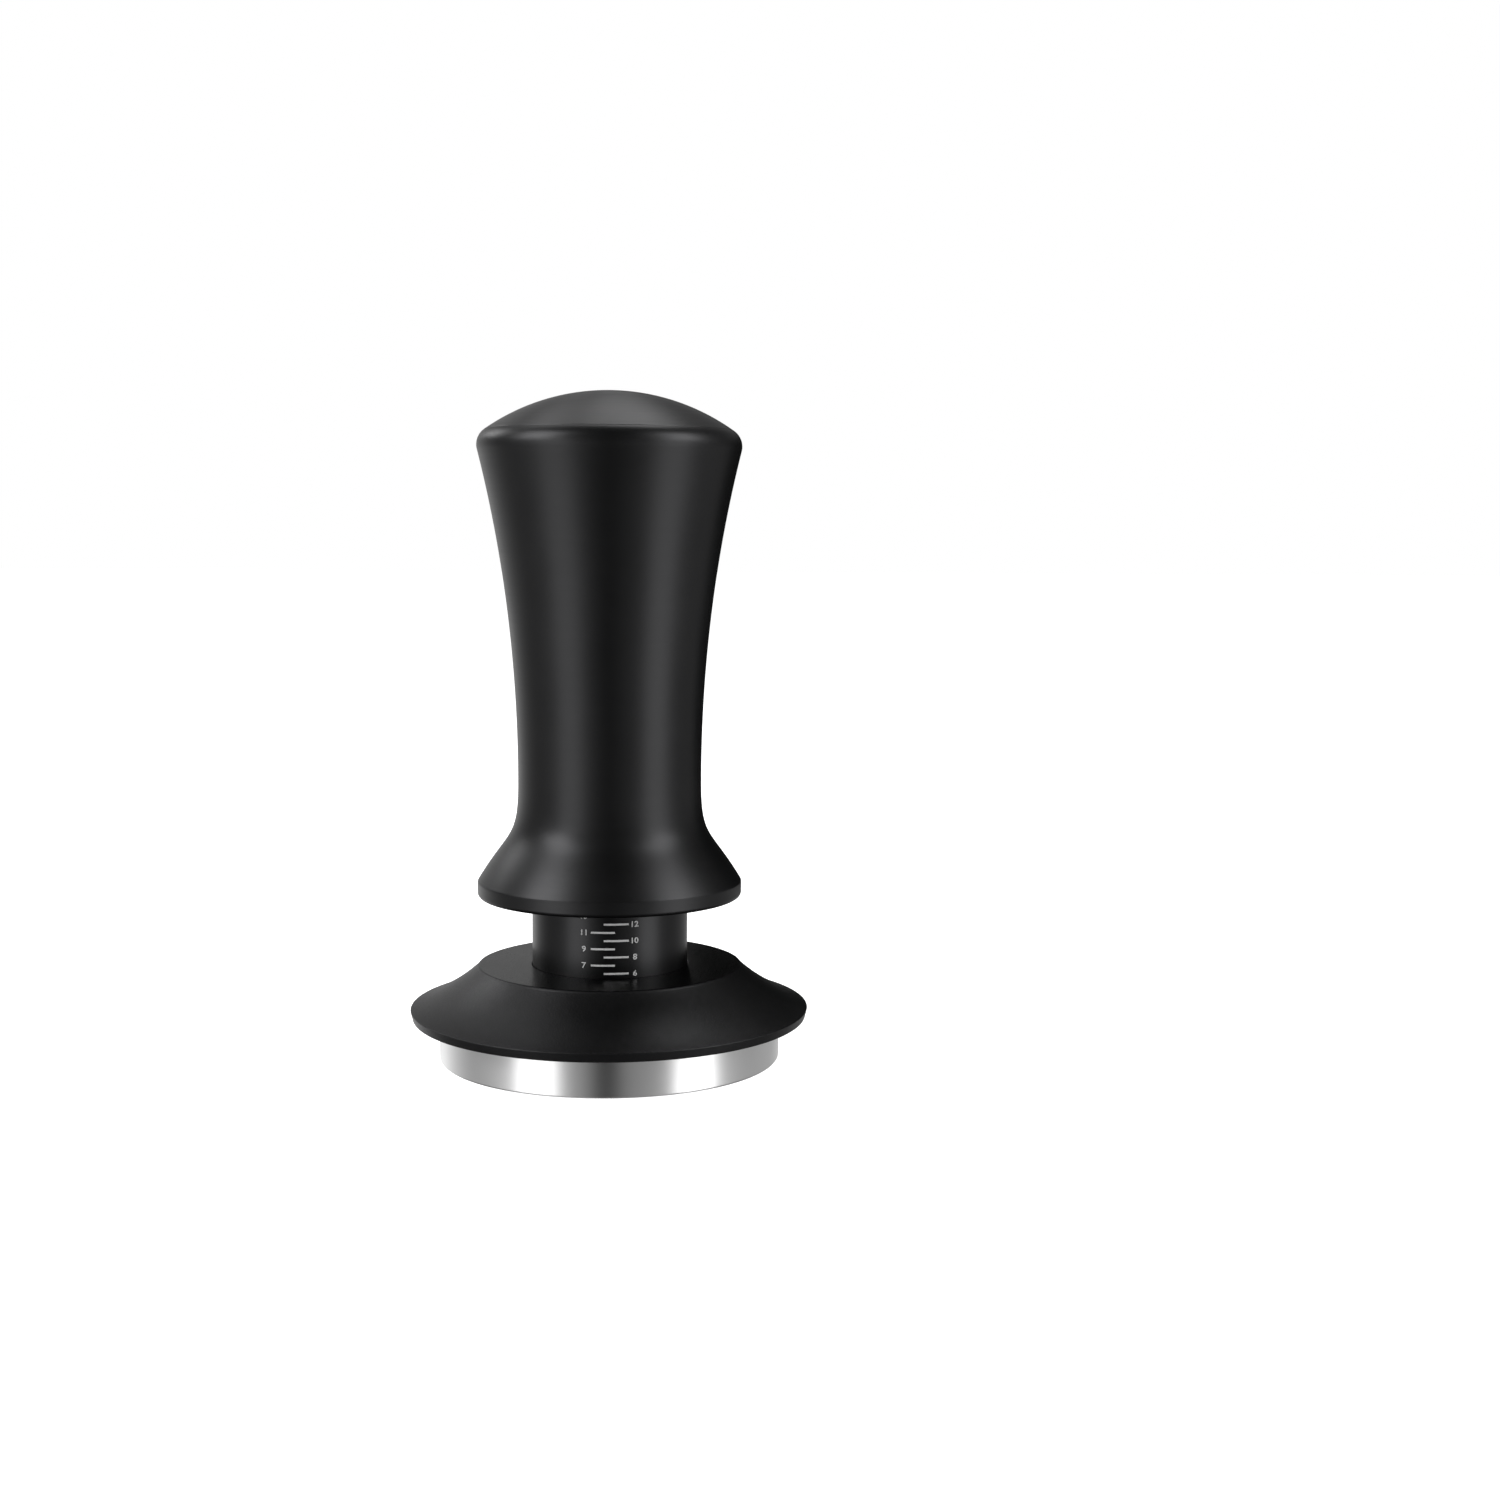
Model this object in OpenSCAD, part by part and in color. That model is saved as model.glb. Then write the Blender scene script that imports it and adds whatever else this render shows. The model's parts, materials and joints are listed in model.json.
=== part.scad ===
// Spring-loaded espresso tamper with a free-turning levelling flange.
// Every piece is centred on the Z axis, and Z = 0 is the tamping face.
// The base carries the shaft. The handle presses down on the base through the main spring,
// and the leveller slides up the shaft against its own lighter spring.

/* [Base] */
// Diameter of the tamping base
base_d = 53.3; // [46:0.1:66]
// Height of the wall that has the full diameter
wall_h = 6.2; // [4.5:0.1:10]
// Height of the smaller boss on top of the wall
boss_h = 1.8; // [1.6:0.1:4]
// Distance that the boss stands in from the wall
boss_step = 0.9; // [0.5:0.1:2]
// Chamfer on the edges of the base
edge_break = 0.3; // [0.1:0.05:0.5]
// Distance from one ripple of the tamping face to the next
ripple_pitch = 1.5; // [1.2:0.05:3]
// Depth of each ripple
ripple_depth = 0.33; // [0.1:0.01:0.4]
// Width of the land between two ripples
ripple_land = 0.26; // [0.1:0.02:0.4]
// Diameter of the flat disc at the middle of the ripples
ripple_disc_d = 4.4; // [2:0.1:12]

/* [Leveller] */
// Distance that the levelling flange stands out from the base
flange_overhang = 4.5; // [3:0.1:9]
// Height of the levelling flange
flange_h = 8.1; // [7.6:0.1:14]
// Height of the flange's outer rim band
flange_rim_h = 1.4; // [0.6:0.05:2]
// Distance that the rim band leans in at its lower edge
flange_undercut = 0.35; // [0.1:0.05:0.6]
// Radius of the hollow sweep from the rim up to the collar
flange_sweep_r = 30; // [20:1:80]
// Gap between the base's wall and the leveller at rest
leveller_gap = 0.3; // [0.2:0.05:1]

/* [Neck] */
// Outside diameter of the scale neck
neck_d = 24.3; // [23:0.1:32]
// Wall of the scale neck
neck_wall = 1.5; // [1.2:0.1:2]
// Length of neck that stays inside the handle at rest
neck_engage = 13; // [12:0.1:20]
// Width of the foot that the neck's screws pass through
neck_foot_w = 4.8; // [4.6:0.1:6]

/* [Handle] */
// Height of the handle from its lower rim to the top of the dome
handle_h = 78.1; // [64:0.1:110]
// Gap between the leveller's collar and the handle's lower rim
handle_gap = 10.9; // [8:0.1:16]
// Wall of the handle at its waist
handle_wall = 1.75; // [1.5:0.05:6]
// Distance that the lower rim stands out from the waist
rim_flare = 6.35; // [4.5:0.05:9]
// Distance that the top stands out from the waist
top_flare = 6.09; // [5:0.01:9]
// Height of the straight band at the lower rim
rim_band_h = 2.4; // [1:0.1:4]
// Height of the waist above the lower rim
waist_h = 18.1; // [14:0.1:26]
// Lean of the handle's side where it meets the top edge, in degrees
top_lean = 13.9; // [5:0.1:20]
// Radius of the rounding between the side and the dome
edge_round = 2.86; // [1.5:0.02:4]
// Radius of the dome
dome_radius = 33.2; // [30:0.1:60]

/* [Cap] */
// Height of the cap's straight edge
cap_edge_h = 1.4; // [1:0.1:3]
// Length of the thread bore that the cap screws into
thread_depth = 6.7; // [5.5:0.1:9]
// Diameter of the cap's thread
thread_d = 30; // [27:0.5:32]

/* [Shaft] */
// Diameter of the shaft
shaft_d = 10; // [8:0.1:12.4]
// Diameter of the stud that joins the shaft to the base
stud_d = 6; // [4:0.5:6]
// Travel of the handle when the main spring gives
press_travel = 3; // [1:0.1:4]

/* [Springs] */
// Wire of the main spring
main_wire_d = 2.2; // [1:0.05:2.3]
// Pitch of the main spring's working turns
main_pitch = 5; // [4:0.1:8]
// Wire of the leveller spring
lift_wire_d = 1; // [0.6:0.05:1.3]
// Pitch of the leveller spring's working turns
lift_pitch = 2.7; // [2:0.1:4]
// Space between both springs and the neck's bore
spring_room = 1.55; // [0.6:0.05:1.6]

/* [Fits] */
// Radial clearance of a running fit
running_fit = 0.05; // [0.02:0.01:0.08]
// Radial clearance of the washers and the plate on the shaft
washer_fit = 0.1; // [0.1:0.05:0.3]
// Radial clearance of pieces that must never touch
free_fit = 0.35; // [0.3:0.05:0.6]
// Play at the seats of the springs and rings
seat_play = 0.03; // [0.02:0.01:0.05]
// Gap left between the handle and the leveller at full travel
stop_gap = 0.7; // [0.3:0.1:1]

/* [Hidden] */
$fn = 96;

// Base
base_r = base_d / 2;
boss_r = base_r - boss_step;
base_top = wall_h + boss_h;
groove_half = (ripple_pitch - ripple_land) / 2;
groove_r = (groove_half * groove_half + ripple_depth * ripple_depth) / (2 * ripple_depth);
first_ripple = ripple_disc_d / 2 + ripple_pitch / 2;
ripple_count = floor((base_r - edge_break - ripple_disc_d / 2) / ripple_pitch);
bumper_cord = 1.6;
bumper_proud = 0.8;
bumper_r = boss_r - 3.75;
bumper_groove_w = bumper_cord + 0.2;

// Shaft joint
shaft_r = shaft_d / 2;
stud_r = stud_d / 2;
stud_in_base = 5;
stud_in_shaft = 6;
hole_extra = 0.2;
stud_chamfer = 0.4;
key_r = 1.7;
key_depth = 2.5;

// Leveller
flange_r = base_r + flange_overhang;
leveller_z0 = wall_h + leveller_gap;
leveller_top = leveller_z0 + flange_h;
recess_r = boss_r + free_fit;
recess_top = base_top + bumper_proud + seat_play;
collar_break = 0.3;

// Neck and its screws
neck_r = neck_d / 2;
neck_in_r = neck_r - neck_wall;
foot_t = 1.5;
foot_top = recess_top + foot_t;
neck_floor = recess_top + 3;
foot_r = neck_r + neck_foot_w;
neck_screw_count = 3;
neck_screw_circle = neck_r + neck_foot_w / 2;
neck_screw_r = 1;
neck_screw_head_r = 1.9;
neck_screw_head_h = 1.1;
neck_screw_len = 4;
neck_key_r = 0.7;
neck_key_depth = 0.7;

// Leveller bush and washer
bush_wall = 1.95;
bush_r = shaft_r + running_fit + bush_wall;
bush_rim_r = bush_r + 1.5;
bush_rim_top = neck_floor + 1;
lift_washer_top = bush_rim_top + 0.5;
lift_washer_r = neck_in_r - 1.15;

// Travel and heights
handle_z0 = leveller_top + handle_gap;
handle_top = handle_z0 + handle_h;
lift_travel = handle_gap - press_travel - stop_gap;
neck_top = handle_z0 + neck_engage;
plate_top = neck_top - 0.5;
plate_t = 2;
plate_z0 = plate_top - plate_t;
plate_r = neck_in_r - free_fit;
ring_t = 1.5;
ring_r = shaft_r + 1.5;
end_room = 0.8;
neck_roof = neck_top + lift_travel + press_travel + end_room;

// Handle outline
neck_bore_r = neck_r + free_fit;
waist_r = neck_bore_r + handle_wall;
rim_r = waist_r + rim_flare;
rim_round = 0.6;
collar_r = rim_r + 0.1;
top_r = waist_r + top_flare;
band_top = handle_z0 + rim_band_h;
waist_z = handle_z0 + waist_h;
dome_z = handle_top - dome_radius;
edge_r0 = top_r - edge_round;
edge_z0 = dome_z + sqrt(pow(dome_radius - edge_round, 2) - edge_r0 * edge_r0);
dome_angle = atan2(edge_z0 - dome_z, edge_r0);
side_end = [edge_r0 + edge_round * cos(top_lean), edge_z0 - edge_round * sin(top_lean)];
lower_ease = 0.51;
lower_slope = 0.6;
waist_ease_down = 0.6;
waist_ease_up = 0.36;
top_ease = 0.31;

// Cap
join_r = dome_radius * cos(dome_angle);
cap_r = join_r - 0.15;
cap_recess_r = cap_r + running_fit;
cap_edge_z = dome_z + sqrt(dome_radius * dome_radius - cap_r * cap_r);
ledge_z = cap_edge_z - cap_edge_h;
thread_z0 = ledge_z - thread_depth;
thread_r = thread_d / 2;
spigot_len = thread_depth - 0.7;
spigot_r = thread_r - running_fit;
cap_hollow_r = thread_r - 3;
cap_ceiling = ledge_z + 3.3;
cap_cord = 1.5;
cap_ring_r = (thread_r + cap_r) / 2;
cap_groove_w = cap_cord + 0.2;

// Guide bush, partition and head of the shaft
guide_wall = 1.4;
guide_r = neck_r + running_fit + guide_wall;
guide_z0 = handle_z0 + 0.6;
guide_len = 7.2;
spring_bore_r = neck_in_r - spring_room + 0.9;
partition_top = thread_z0 - 9.5;
partition_z0 = partition_top - 4;
shaft_bush_wall = 1.45;
shaft_bush_r = shaft_r + running_fit + shaft_bush_wall;
thrust_t = 0.8;
thrust_z0 = partition_z0 - thrust_t;
thrust_r = spring_bore_r - 0.5;
buffer_t = 1;
shaft_top = partition_top + buffer_t;
retain_t = 1.2;
retain_r = shaft_r + 4;
retain_top = shaft_top + retain_t;
screw_r = 2.5;
screw_len = 9;
screw_head_r = 4.25;
screw_head_h = 3.2;
screw_key_r = 2.3;
screw_key_depth = 2;

// Springs
coil_r = neck_in_r - spring_room;
main_r = coil_r - main_wire_d / 2;
lift_r = coil_r - lift_wire_d / 2;
closed_pitch = 1.06;

// Points of a cubic curve from a to d, with handles b and c
function curve(a, b, c, d, n) = [for (i = [0 : n]) let (t = i / n, s = 1 - t)
    s * s * s * a + 3 * s * s * t * b + 3 * s * t * t * c + t * t * t * d];

// Points of an arc about the centre m
function arc(m, r, a0, a1, n) = [for (i = [0 : n]) let (a = a0 + (a1 - a0) * i / n)
    m + r * [cos(a), sin(a)]];

// A ring with a square section, from radius r0 to r1 and from z0 to z1
module ring(r0, r1, z0, z1) {
    translate([0, 0, z0]) difference() {
        cylinder(r = r1, h = z1 - z0);
        translate([0, 0, -1]) cylinder(r = r0, h = z1 - z0 + 2);
    }
}

// A round cord bent into a ring
module cord_ring(r, cord, z) {
    translate([0, 0, z]) rotate_extrude() translate([r, 0]) circle(d = cord, $fn = 24);
}

// Height of a coil's middle line after t turns, with one closed turn at each end
function coil_z(t, turns, wire, rise) =
    wire * closed_pitch * (min(t, 1) + max(t - turns + 1, 0))
    + rise * min(max((t - 1) / (turns - 2), 0), 1);

// A coil spring with closed ends, between z0 and z1
module coil(r, wire, z0, z1, pitch, sides, steps) {
    rise = z1 - z0 - wire - 2 * wire * closed_pitch;
    turns = 2 + max(round(rise / pitch), 1);
    rings = round(turns * steps);
    points = [for (i = [0 : rings]) let (t = turns * i / rings, a = 360 * t,
            z = z0 + wire / 2 + coil_z(t, turns, wire, rise))
        for (k = [0 : sides - 1]) let (b = 360 * k / sides, q = r + wire / 2 * cos(b))
            [q * cos(a), q * sin(a), z + wire / 2 * sin(b)]];
    walls = [for (i = [0 : rings - 1], k = [0 : sides - 1]) let (n = (k + 1) % sides,
            p = i * sides)
        [p + k, p + sides + k, p + sides + n, p + n]];
    first = [for (k = [0 : sides - 1]) k];
    last = [for (k = [0 : sides - 1]) rings * sides + sides - 1 - k];
    polyhedron(points, concat(walls, [first, last]));
}

// Stainless disc that presses the coffee, rippled underneath
module tamping_base() {
    color("silver") difference() {
        rotate_extrude() polygon([[0, 0], [base_r - edge_break, 0], [base_r, edge_break],
            [base_r, wall_h - edge_break], [base_r - edge_break, wall_h], [boss_r, wall_h],
            [boss_r, base_top - edge_break], [boss_r - edge_break, base_top], [0, base_top]]);
        for (i = [0 : ripple_count - 1])
            rotate_extrude()
                translate([first_ripple + i * ripple_pitch, ripple_depth - groove_r])
                    circle(r = groove_r, $fn = 32);
        ring(bumper_r - bumper_groove_w / 2, bumper_r + bumper_groove_w / 2,
            base_top + bumper_proud - bumper_cord, base_top + 1);
        translate([0, 0, base_top - stud_in_base - hole_extra])
            cylinder(r = stud_r, h = stud_in_base + 1);
    }
}

// Soft ring that the leveller comes to rest on
module bumper_ring() {
    color("dimgray") cord_ring(bumper_r, bumper_cord, base_top + bumper_proud - bumper_cord / 2);
}

// Headless stud that holds the base on the shaft
module base_stud() {
    low = base_top - stud_in_base;
    high = base_top + stud_in_shaft;
    color("gray") difference() {
        rotate_extrude() polygon([[0, low], [stud_r - stud_chamfer, low],
            [stud_r, low + stud_chamfer], [stud_r, high - stud_chamfer],
            [stud_r - stud_chamfer, high], [0, high]]);
        translate([0, 0, low - 1]) cylinder(r = key_r, h = key_depth + 1, $fn = 6);
    }
}

// Ground steel shaft with a shoulder for the spring plate and a tapped hole at each end
module shaft() {
    color("lightgray") difference() {
        union() {
            translate([0, 0, base_top]) cylinder(r = shaft_r, h = shaft_top - base_top);
            translate([0, 0, plate_z0 - ring_t]) cylinder(r = ring_r, h = ring_t);
        }
        translate([0, 0, base_top - 1]) cylinder(r = stud_r, h = stud_in_shaft + hole_extra + 1);
        translate([0, 0, shaft_top - screw_len - hole_extra])
            cylinder(r = screw_r, h = screw_len + 1);
    }
}

// Plate on the shaft's shoulder: the main spring stands on it, the leveller spring hangs under it
module spring_plate() {
    color("gainsboro") ring(shaft_r + washer_fit, plate_r, plate_z0, plate_top);
}

// Calibrated spring between the plate and the handle
module main_spring() {
    color("slategray") coil(main_r, main_wire_d, plate_top + seat_play, thrust_z0 - seat_play,
        main_pitch, 8, 18);
}

// Thrust washer that the handle turns on
module main_spring_washer() {
    color("gold") ring(shaft_r + washer_fit, thrust_r, thrust_z0, partition_z0);
}

// Soft washer that the handle comes to rest against
module buffer_washer() {
    color("dimgray") ring(shaft_r + washer_fit, retain_r, partition_top, shaft_top);
}

// Steel washer clamped on the end of the shaft
module retaining_washer() {
    color("silver") ring(screw_r + washer_fit, retain_r, shaft_top, retain_top);
}

// Socket screw that keeps the handle on the shaft
module retaining_screw() {
    color("black") difference() {
        union() {
            translate([0, 0, retain_top]) cylinder(r = screw_head_r, h = screw_head_h);
            translate([0, 0, shaft_top - screw_len])
                cylinder(r = screw_r, h = screw_len + retain_t + 1);
        }
        translate([0, 0, retain_top + screw_head_h - screw_key_depth])
            cylinder(r = screw_key_r, h = screw_key_depth + 1, $fn = 6);
    }
}

// Places its children at the neck's screws
module at_neck_screws() {
    for (i = [0 : neck_screw_count - 1])
        rotate([0, 0, 360 / neck_screw_count * (i + 0.25)])
            translate([neck_screw_circle, 0, 0]) children();
}

// Head and shank of a neck screw, from its flush face upwards
module neck_screw_body(extra) {
    translate([0, 0, recess_top])
        cylinder(r1 = neck_screw_head_r, r2 = neck_screw_r, h = neck_screw_head_h);
    translate([0, 0, recess_top]) cylinder(r = neck_screw_r, h = neck_screw_len + extra);
}

// Hollow sweep from the flange's rim in to the collar: an arc that bends towards the axis
function sweep() = let (a = [flange_r, leveller_z0 + flange_rim_h],
        b = [collar_r, leveller_top - collar_break], half = norm(b - a) / 2, u = (b - a) / (2 * half),
        m = (a + b) / 2 + sqrt(flange_sweep_r * flange_sweep_r - half * half) * [u[1], -u[0]],
        a0 = atan2(a[1] - m[1], a[0] - m[0]), a1 = atan2(b[1] - m[1], b[0] - m[0]))
    arc(m, flange_sweep_r, a0 < 0 ? a0 + 360 : a0, a1 < 0 ? a1 + 360 : a1, 14);

// Black flange that rests on the rim of the basket and keeps the base level
module leveller_flange() {
    color("#202022") difference() {
        rotate_extrude() polygon(concat([[0, leveller_z0],
            [flange_r - flange_undercut, leveller_z0]], sweep(),
            [[collar_r - collar_break, leveller_top], [0, leveller_top]]));
        translate([0, 0, leveller_z0 - 1]) cylinder(r = recess_r, h = recess_top - leveller_z0 + 1);
        translate([0, 0, recess_top - 1]) cylinder(r = foot_r + running_fit, h = foot_t + 1);
        translate([0, 0, recess_top]) cylinder(r = neck_r + running_fit, h = flange_h);
        at_neck_screws() translate([0, 0, foot_top - 1])
            cylinder(r = neck_screw_r, h = recess_top + neck_screw_len + hole_extra - foot_top + 1);
    }
}

// Tube with the depth scale, screwed into the flange: it slides up into the handle
module scale_neck() {
    color("#18181a") difference() {
        union() {
            translate([0, 0, recess_top]) cylinder(r = foot_r, h = foot_t);
            translate([0, 0, recess_top]) cylinder(r = neck_r, h = neck_top - recess_top);
        }
        translate([0, 0, neck_floor]) cylinder(r = neck_in_r, h = neck_top);
        translate([0, 0, recess_top - 1]) cylinder(r = bush_r, h = neck_floor - recess_top + 2);
        at_neck_screws() neck_screw_body(1);
    }
}

// Countersunk screws that hold the neck in the flange
module neck_screws() {
    color("silver") at_neck_screws() difference() {
        neck_screw_body(0);
        translate([0, 0, recess_top - 1])
            cylinder(r = neck_key_r, h = neck_key_depth + 1, $fn = 6);
    }
}

// Plastic bush that the leveller slides and turns on
module leveller_bush() {
    color("ivory") difference() {
        union() {
            translate([0, 0, recess_top]) cylinder(r = bush_r, h = neck_floor - recess_top);
            translate([0, 0, neck_floor]) cylinder(r = bush_rim_r, h = bush_rim_top - neck_floor);
        }
        translate([0, 0, recess_top - 1])
            cylinder(r = shaft_r + running_fit, h = bush_rim_top - recess_top + 2);
    }
}

// Washer under the leveller spring
module leveller_spring_washer() {
    color("silver") ring(shaft_r + washer_fit, lift_washer_r, bush_rim_top, lift_washer_top);
}

// Light spring that keeps the leveller down
module leveller_spring() {
    color("slategray") coil(lift_r, lift_wire_d, lift_washer_top + seat_play,
        plate_z0 - seat_play, lift_pitch, 6, 18);
}

// Outline of the handle's side, from the lower rim up to the edge of the cap's recess
function handle_side() = let (foot = [rim_r, band_top], waist = [waist_r, waist_z],
        low = waist_z - band_top, high = side_end[1] - waist_z)
    concat(arc([rim_r - rim_round, handle_z0 + rim_round], rim_round, -90, 0, 4),
        curve(foot, foot + low * lower_ease * [-lower_slope, 1],
            waist - [0, low * waist_ease_down], waist, 14),
        [for (p = curve(waist, waist + [0, high * waist_ease_up],
            side_end - high * top_ease * [tan(top_lean), 1], side_end, 14)) if (p != waist) p],
        [for (i = [1 : 8]) let (a = -top_lean + (dome_angle + top_lean) * i / 8)
            [edge_r0, edge_z0] + edge_round * [cos(a), sin(a)]]);

// Turned handle with a flared lower rim, a slim waist and a wide top
module handle_body() {
    color("#161617") difference() {
        rotate_extrude() polygon(concat([[0, handle_z0]], handle_side(),
            [[cap_recess_r, cap_edge_z], [0, cap_edge_z]]));
        translate([0, 0, handle_z0 - 1]) cylinder(r = neck_bore_r, h = neck_roof - handle_z0 + 1);
        translate([0, 0, handle_z0 - 1])
            cylinder(r = guide_r, h = guide_z0 + guide_len - handle_z0 + 1);
        translate([0, 0, neck_roof - 1])
            cylinder(r = spring_bore_r, h = partition_z0 - neck_roof + 1);
        translate([0, 0, partition_z0 - 1])
            cylinder(r = shaft_bush_r, h = partition_top - partition_z0 + 2);
        translate([0, 0, partition_top])
            cylinder(r = cap_hollow_r, h = thread_z0 - partition_top + 1);
        translate([0, 0, thread_z0]) cylinder(r = thread_r, h = thread_depth + 1);
        translate([0, 0, ledge_z]) cylinder(r = cap_recess_r, h = cap_edge_h + 2);
        ring(cap_ring_r - cap_groove_w / 2, cap_ring_r + cap_groove_w / 2,
            ledge_z - cap_cord, ledge_z + 1);
    }
}

// Plastic bush in the handle's mouth that guides the neck
module handle_guide_bush() {
    color("#2a2a2a") ring(neck_r + running_fit, guide_r, guide_z0, guide_z0 + guide_len);
}

// Plastic bush in the handle's partition that guides the shaft
module shaft_bush() {
    color("ivory") ring(shaft_r + running_fit, shaft_bush_r, partition_z0, partition_top);
}

// Domed cap that screws into the top of the handle
module handle_cap() {
    color("#222224") difference() {
        union() {
            intersection() {
                translate([0, 0, dome_z]) sphere(r = dome_radius, $fn = 192);
                translate([0, 0, ledge_z]) cylinder(r = cap_r, h = dome_radius);
            }
            translate([0, 0, ledge_z - spigot_len]) cylinder(r = spigot_r, h = spigot_len + 1);
        }
        translate([0, 0, ledge_z - spigot_len - 1])
            cylinder(r = cap_hollow_r, h = cap_ceiling - ledge_z + spigot_len + 1);
    }
}

// Seal under the cap
module cap_oring() {
    color("dimgray") cord_ring(cap_ring_r, cap_cord, ledge_z - cap_cord / 2);
}

tamping_base();
bumper_ring();
base_stud();
shaft();
spring_plate();
main_spring();
main_spring_washer();
buffer_washer();
retaining_washer();
retaining_screw();
leveller_flange();
scale_neck();
neck_screws();
leveller_bush();
leveller_spring_washer();
leveller_spring();
handle_body();
handle_guide_bush();
shaft_bush();
handle_cap();
cap_oring();
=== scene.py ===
# %% [markdown]
# # A spring-loaded espresso tamper
#
# A tamper presses ground coffee flat. This one has a rippled steel base, a black flange that
# keeps the base level in its basket, a neck with a depth scale, and a handle that slides down
# over the neck against a calibrated spring.
#
# Nearly every piece of it is turned on a lathe, and that is how the pieces are made here too.
# We draw half of a piece's section, round its corners, and spin it once about the Z axis.
# The CAD frame already holds each piece's place, so it is loaded first and never moved.

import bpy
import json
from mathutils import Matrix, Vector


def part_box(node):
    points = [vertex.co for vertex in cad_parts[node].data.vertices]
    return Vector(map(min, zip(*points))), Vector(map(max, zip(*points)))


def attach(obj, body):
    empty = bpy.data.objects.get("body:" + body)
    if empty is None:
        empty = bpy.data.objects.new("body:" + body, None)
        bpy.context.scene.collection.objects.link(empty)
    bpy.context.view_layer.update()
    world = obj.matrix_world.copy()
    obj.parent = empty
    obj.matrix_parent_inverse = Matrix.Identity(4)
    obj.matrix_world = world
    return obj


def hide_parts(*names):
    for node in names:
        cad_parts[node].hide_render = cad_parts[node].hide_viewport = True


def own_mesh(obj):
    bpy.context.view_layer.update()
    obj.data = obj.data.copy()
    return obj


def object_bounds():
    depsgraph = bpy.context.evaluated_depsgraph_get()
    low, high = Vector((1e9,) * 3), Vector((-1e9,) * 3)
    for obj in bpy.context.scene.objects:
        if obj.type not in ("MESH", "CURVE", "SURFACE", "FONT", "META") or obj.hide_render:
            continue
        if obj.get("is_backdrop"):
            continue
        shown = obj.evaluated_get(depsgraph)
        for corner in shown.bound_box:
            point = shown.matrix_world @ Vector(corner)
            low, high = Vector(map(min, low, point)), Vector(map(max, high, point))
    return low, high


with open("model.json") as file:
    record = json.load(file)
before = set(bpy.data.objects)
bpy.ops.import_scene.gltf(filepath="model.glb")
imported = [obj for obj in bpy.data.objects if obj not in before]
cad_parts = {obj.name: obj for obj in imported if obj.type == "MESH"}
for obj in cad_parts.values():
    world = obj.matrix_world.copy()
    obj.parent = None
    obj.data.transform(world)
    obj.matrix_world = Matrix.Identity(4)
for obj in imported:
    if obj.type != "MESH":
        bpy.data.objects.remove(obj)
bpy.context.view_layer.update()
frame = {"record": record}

# %% [markdown]
# The rest of the lesson needs Blender's own modules: `bpy` for objects and materials, `bmesh`
# for shaping meshes, and `mathutils` for vectors and turns.

# %% Tools that the lesson uses
import json
import math

import bmesh
import bpy
from mathutils import Matrix, Vector

print("Blender", bpy.app.version_string)

# %% [markdown]
# ## Measures
#
# Blender works in metres, while a tamper is drawn in millimetres, so lengths are written in
# millimetres and turned into metres once, when a mesh is made. Heights and radii are read
# from the frame where a CAD piece gives them. That keeps both models the same size.

# %% Read sizes from the frame
MM = 0.001
record = frame["record"]
body_of = {node: body for body, nodes in record["behaviour"]["bodies"].items() for node in nodes}


def measure(node):
    """Radius, lowest and highest point of a CAD node, in millimetres."""
    low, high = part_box(node)
    return (high[0] - low[0]) / 2 / MM, low[2] / MM, high[2] / MM


base_r, face_z, base_top = measure("tamping_base")
flange_r, flange_z, collar_z = measure("leveller_flange")
foot_r, foot_z, neck_top = measure("scale_neck")
rim_r, rim_z, _ = measure("handle_body")
cap_r, spigot_z, dome_top = measure("handle_cap")
print(f"base radius {base_r:.2f} mm, whole height {dome_top - face_z:.2f} mm")

# %% [markdown]
# ## Turning on a lathe
#
# A solid of revolution needs only its outline: a chain of points, each with a radius, a height
# and the rounding of its corner. `bmesh.ops.bevel` rounds the corners of the chain while it is
# still flat, which is cheaper and cleaner than bevelling a finished solid. Then
# `bmesh.ops.spin` carries the chain once round.
#
# Smooth shading bends light across a flat that meets a rounded corner. A holding point close to
# each end of a flat stops that, as an edge loop does in subdivision modelling.

# %% Draw an outline
HOLD = 0.07 * MM
CORNER_SEGMENTS = 4
HOLD_TURN = math.radians(4)


def corner_turn(edge, corner):
    """Angle by which the outline turns at this end of an edge."""
    others = [other for other in corner.link_edges if other is not edge]
    if not others:
        return 0
    here = edge.other_vert(corner).co - corner.co
    there = others[0].other_vert(corner).co - corner.co
    return math.pi - here.angle(there)


def hold_flats(bm):
    """Add a holding point near each end of a flat where the outline turns."""
    for edge in list(bm.edges):
        for corner in list(edge.verts):
            length = edge.calc_length()
            if length > 4 * HOLD and corner_turn(edge, corner) > HOLD_TURN:
                bmesh.utils.edge_split(edge, corner, HOLD / length)


def draw_outline(outline, closed):
    """A flat chain of (radius, height, rounding) points, with its corners rounded."""
    bm = bmesh.new()
    corners = [bm.verts.new((r * MM, 0, z * MM)) for r, z, _ in outline]
    for pair in zip(corners, corners[1:]):
        bm.edges.new(pair)
    if closed:
        bm.edges.new((corners[-1], corners[0]))
    for corner, (_, _, rounding) in zip(corners, outline):
        if rounding:
            bmesh.ops.bevel(bm, geom=[corner], offset=rounding * MM, affect="VERTICES",
                            segments=CORNER_SEGMENTS, profile=0.5, material=-1,
                            clamp_overlap=True)
    hold_flats(bm)
    return bm


sample = draw_outline([(5, 0, 0.3), (8, 0, 0.3), (8, 2, 0.3), (5, 2, 0.3)], closed=True)
print("a washer's section takes", len(sample.verts), "points")
sample.free()

# %% [markdown]
# One turn of the chain makes the skin of the piece. Where the chain starts or ends on the axis
# the spin leaves many points in one place, so doubles are merged. Then any open end is closed
# and the faces are turned outwards. Large pieces take more steps round than small ones.

# %% Spin it
FINE, COARSE = 192, 96


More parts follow.
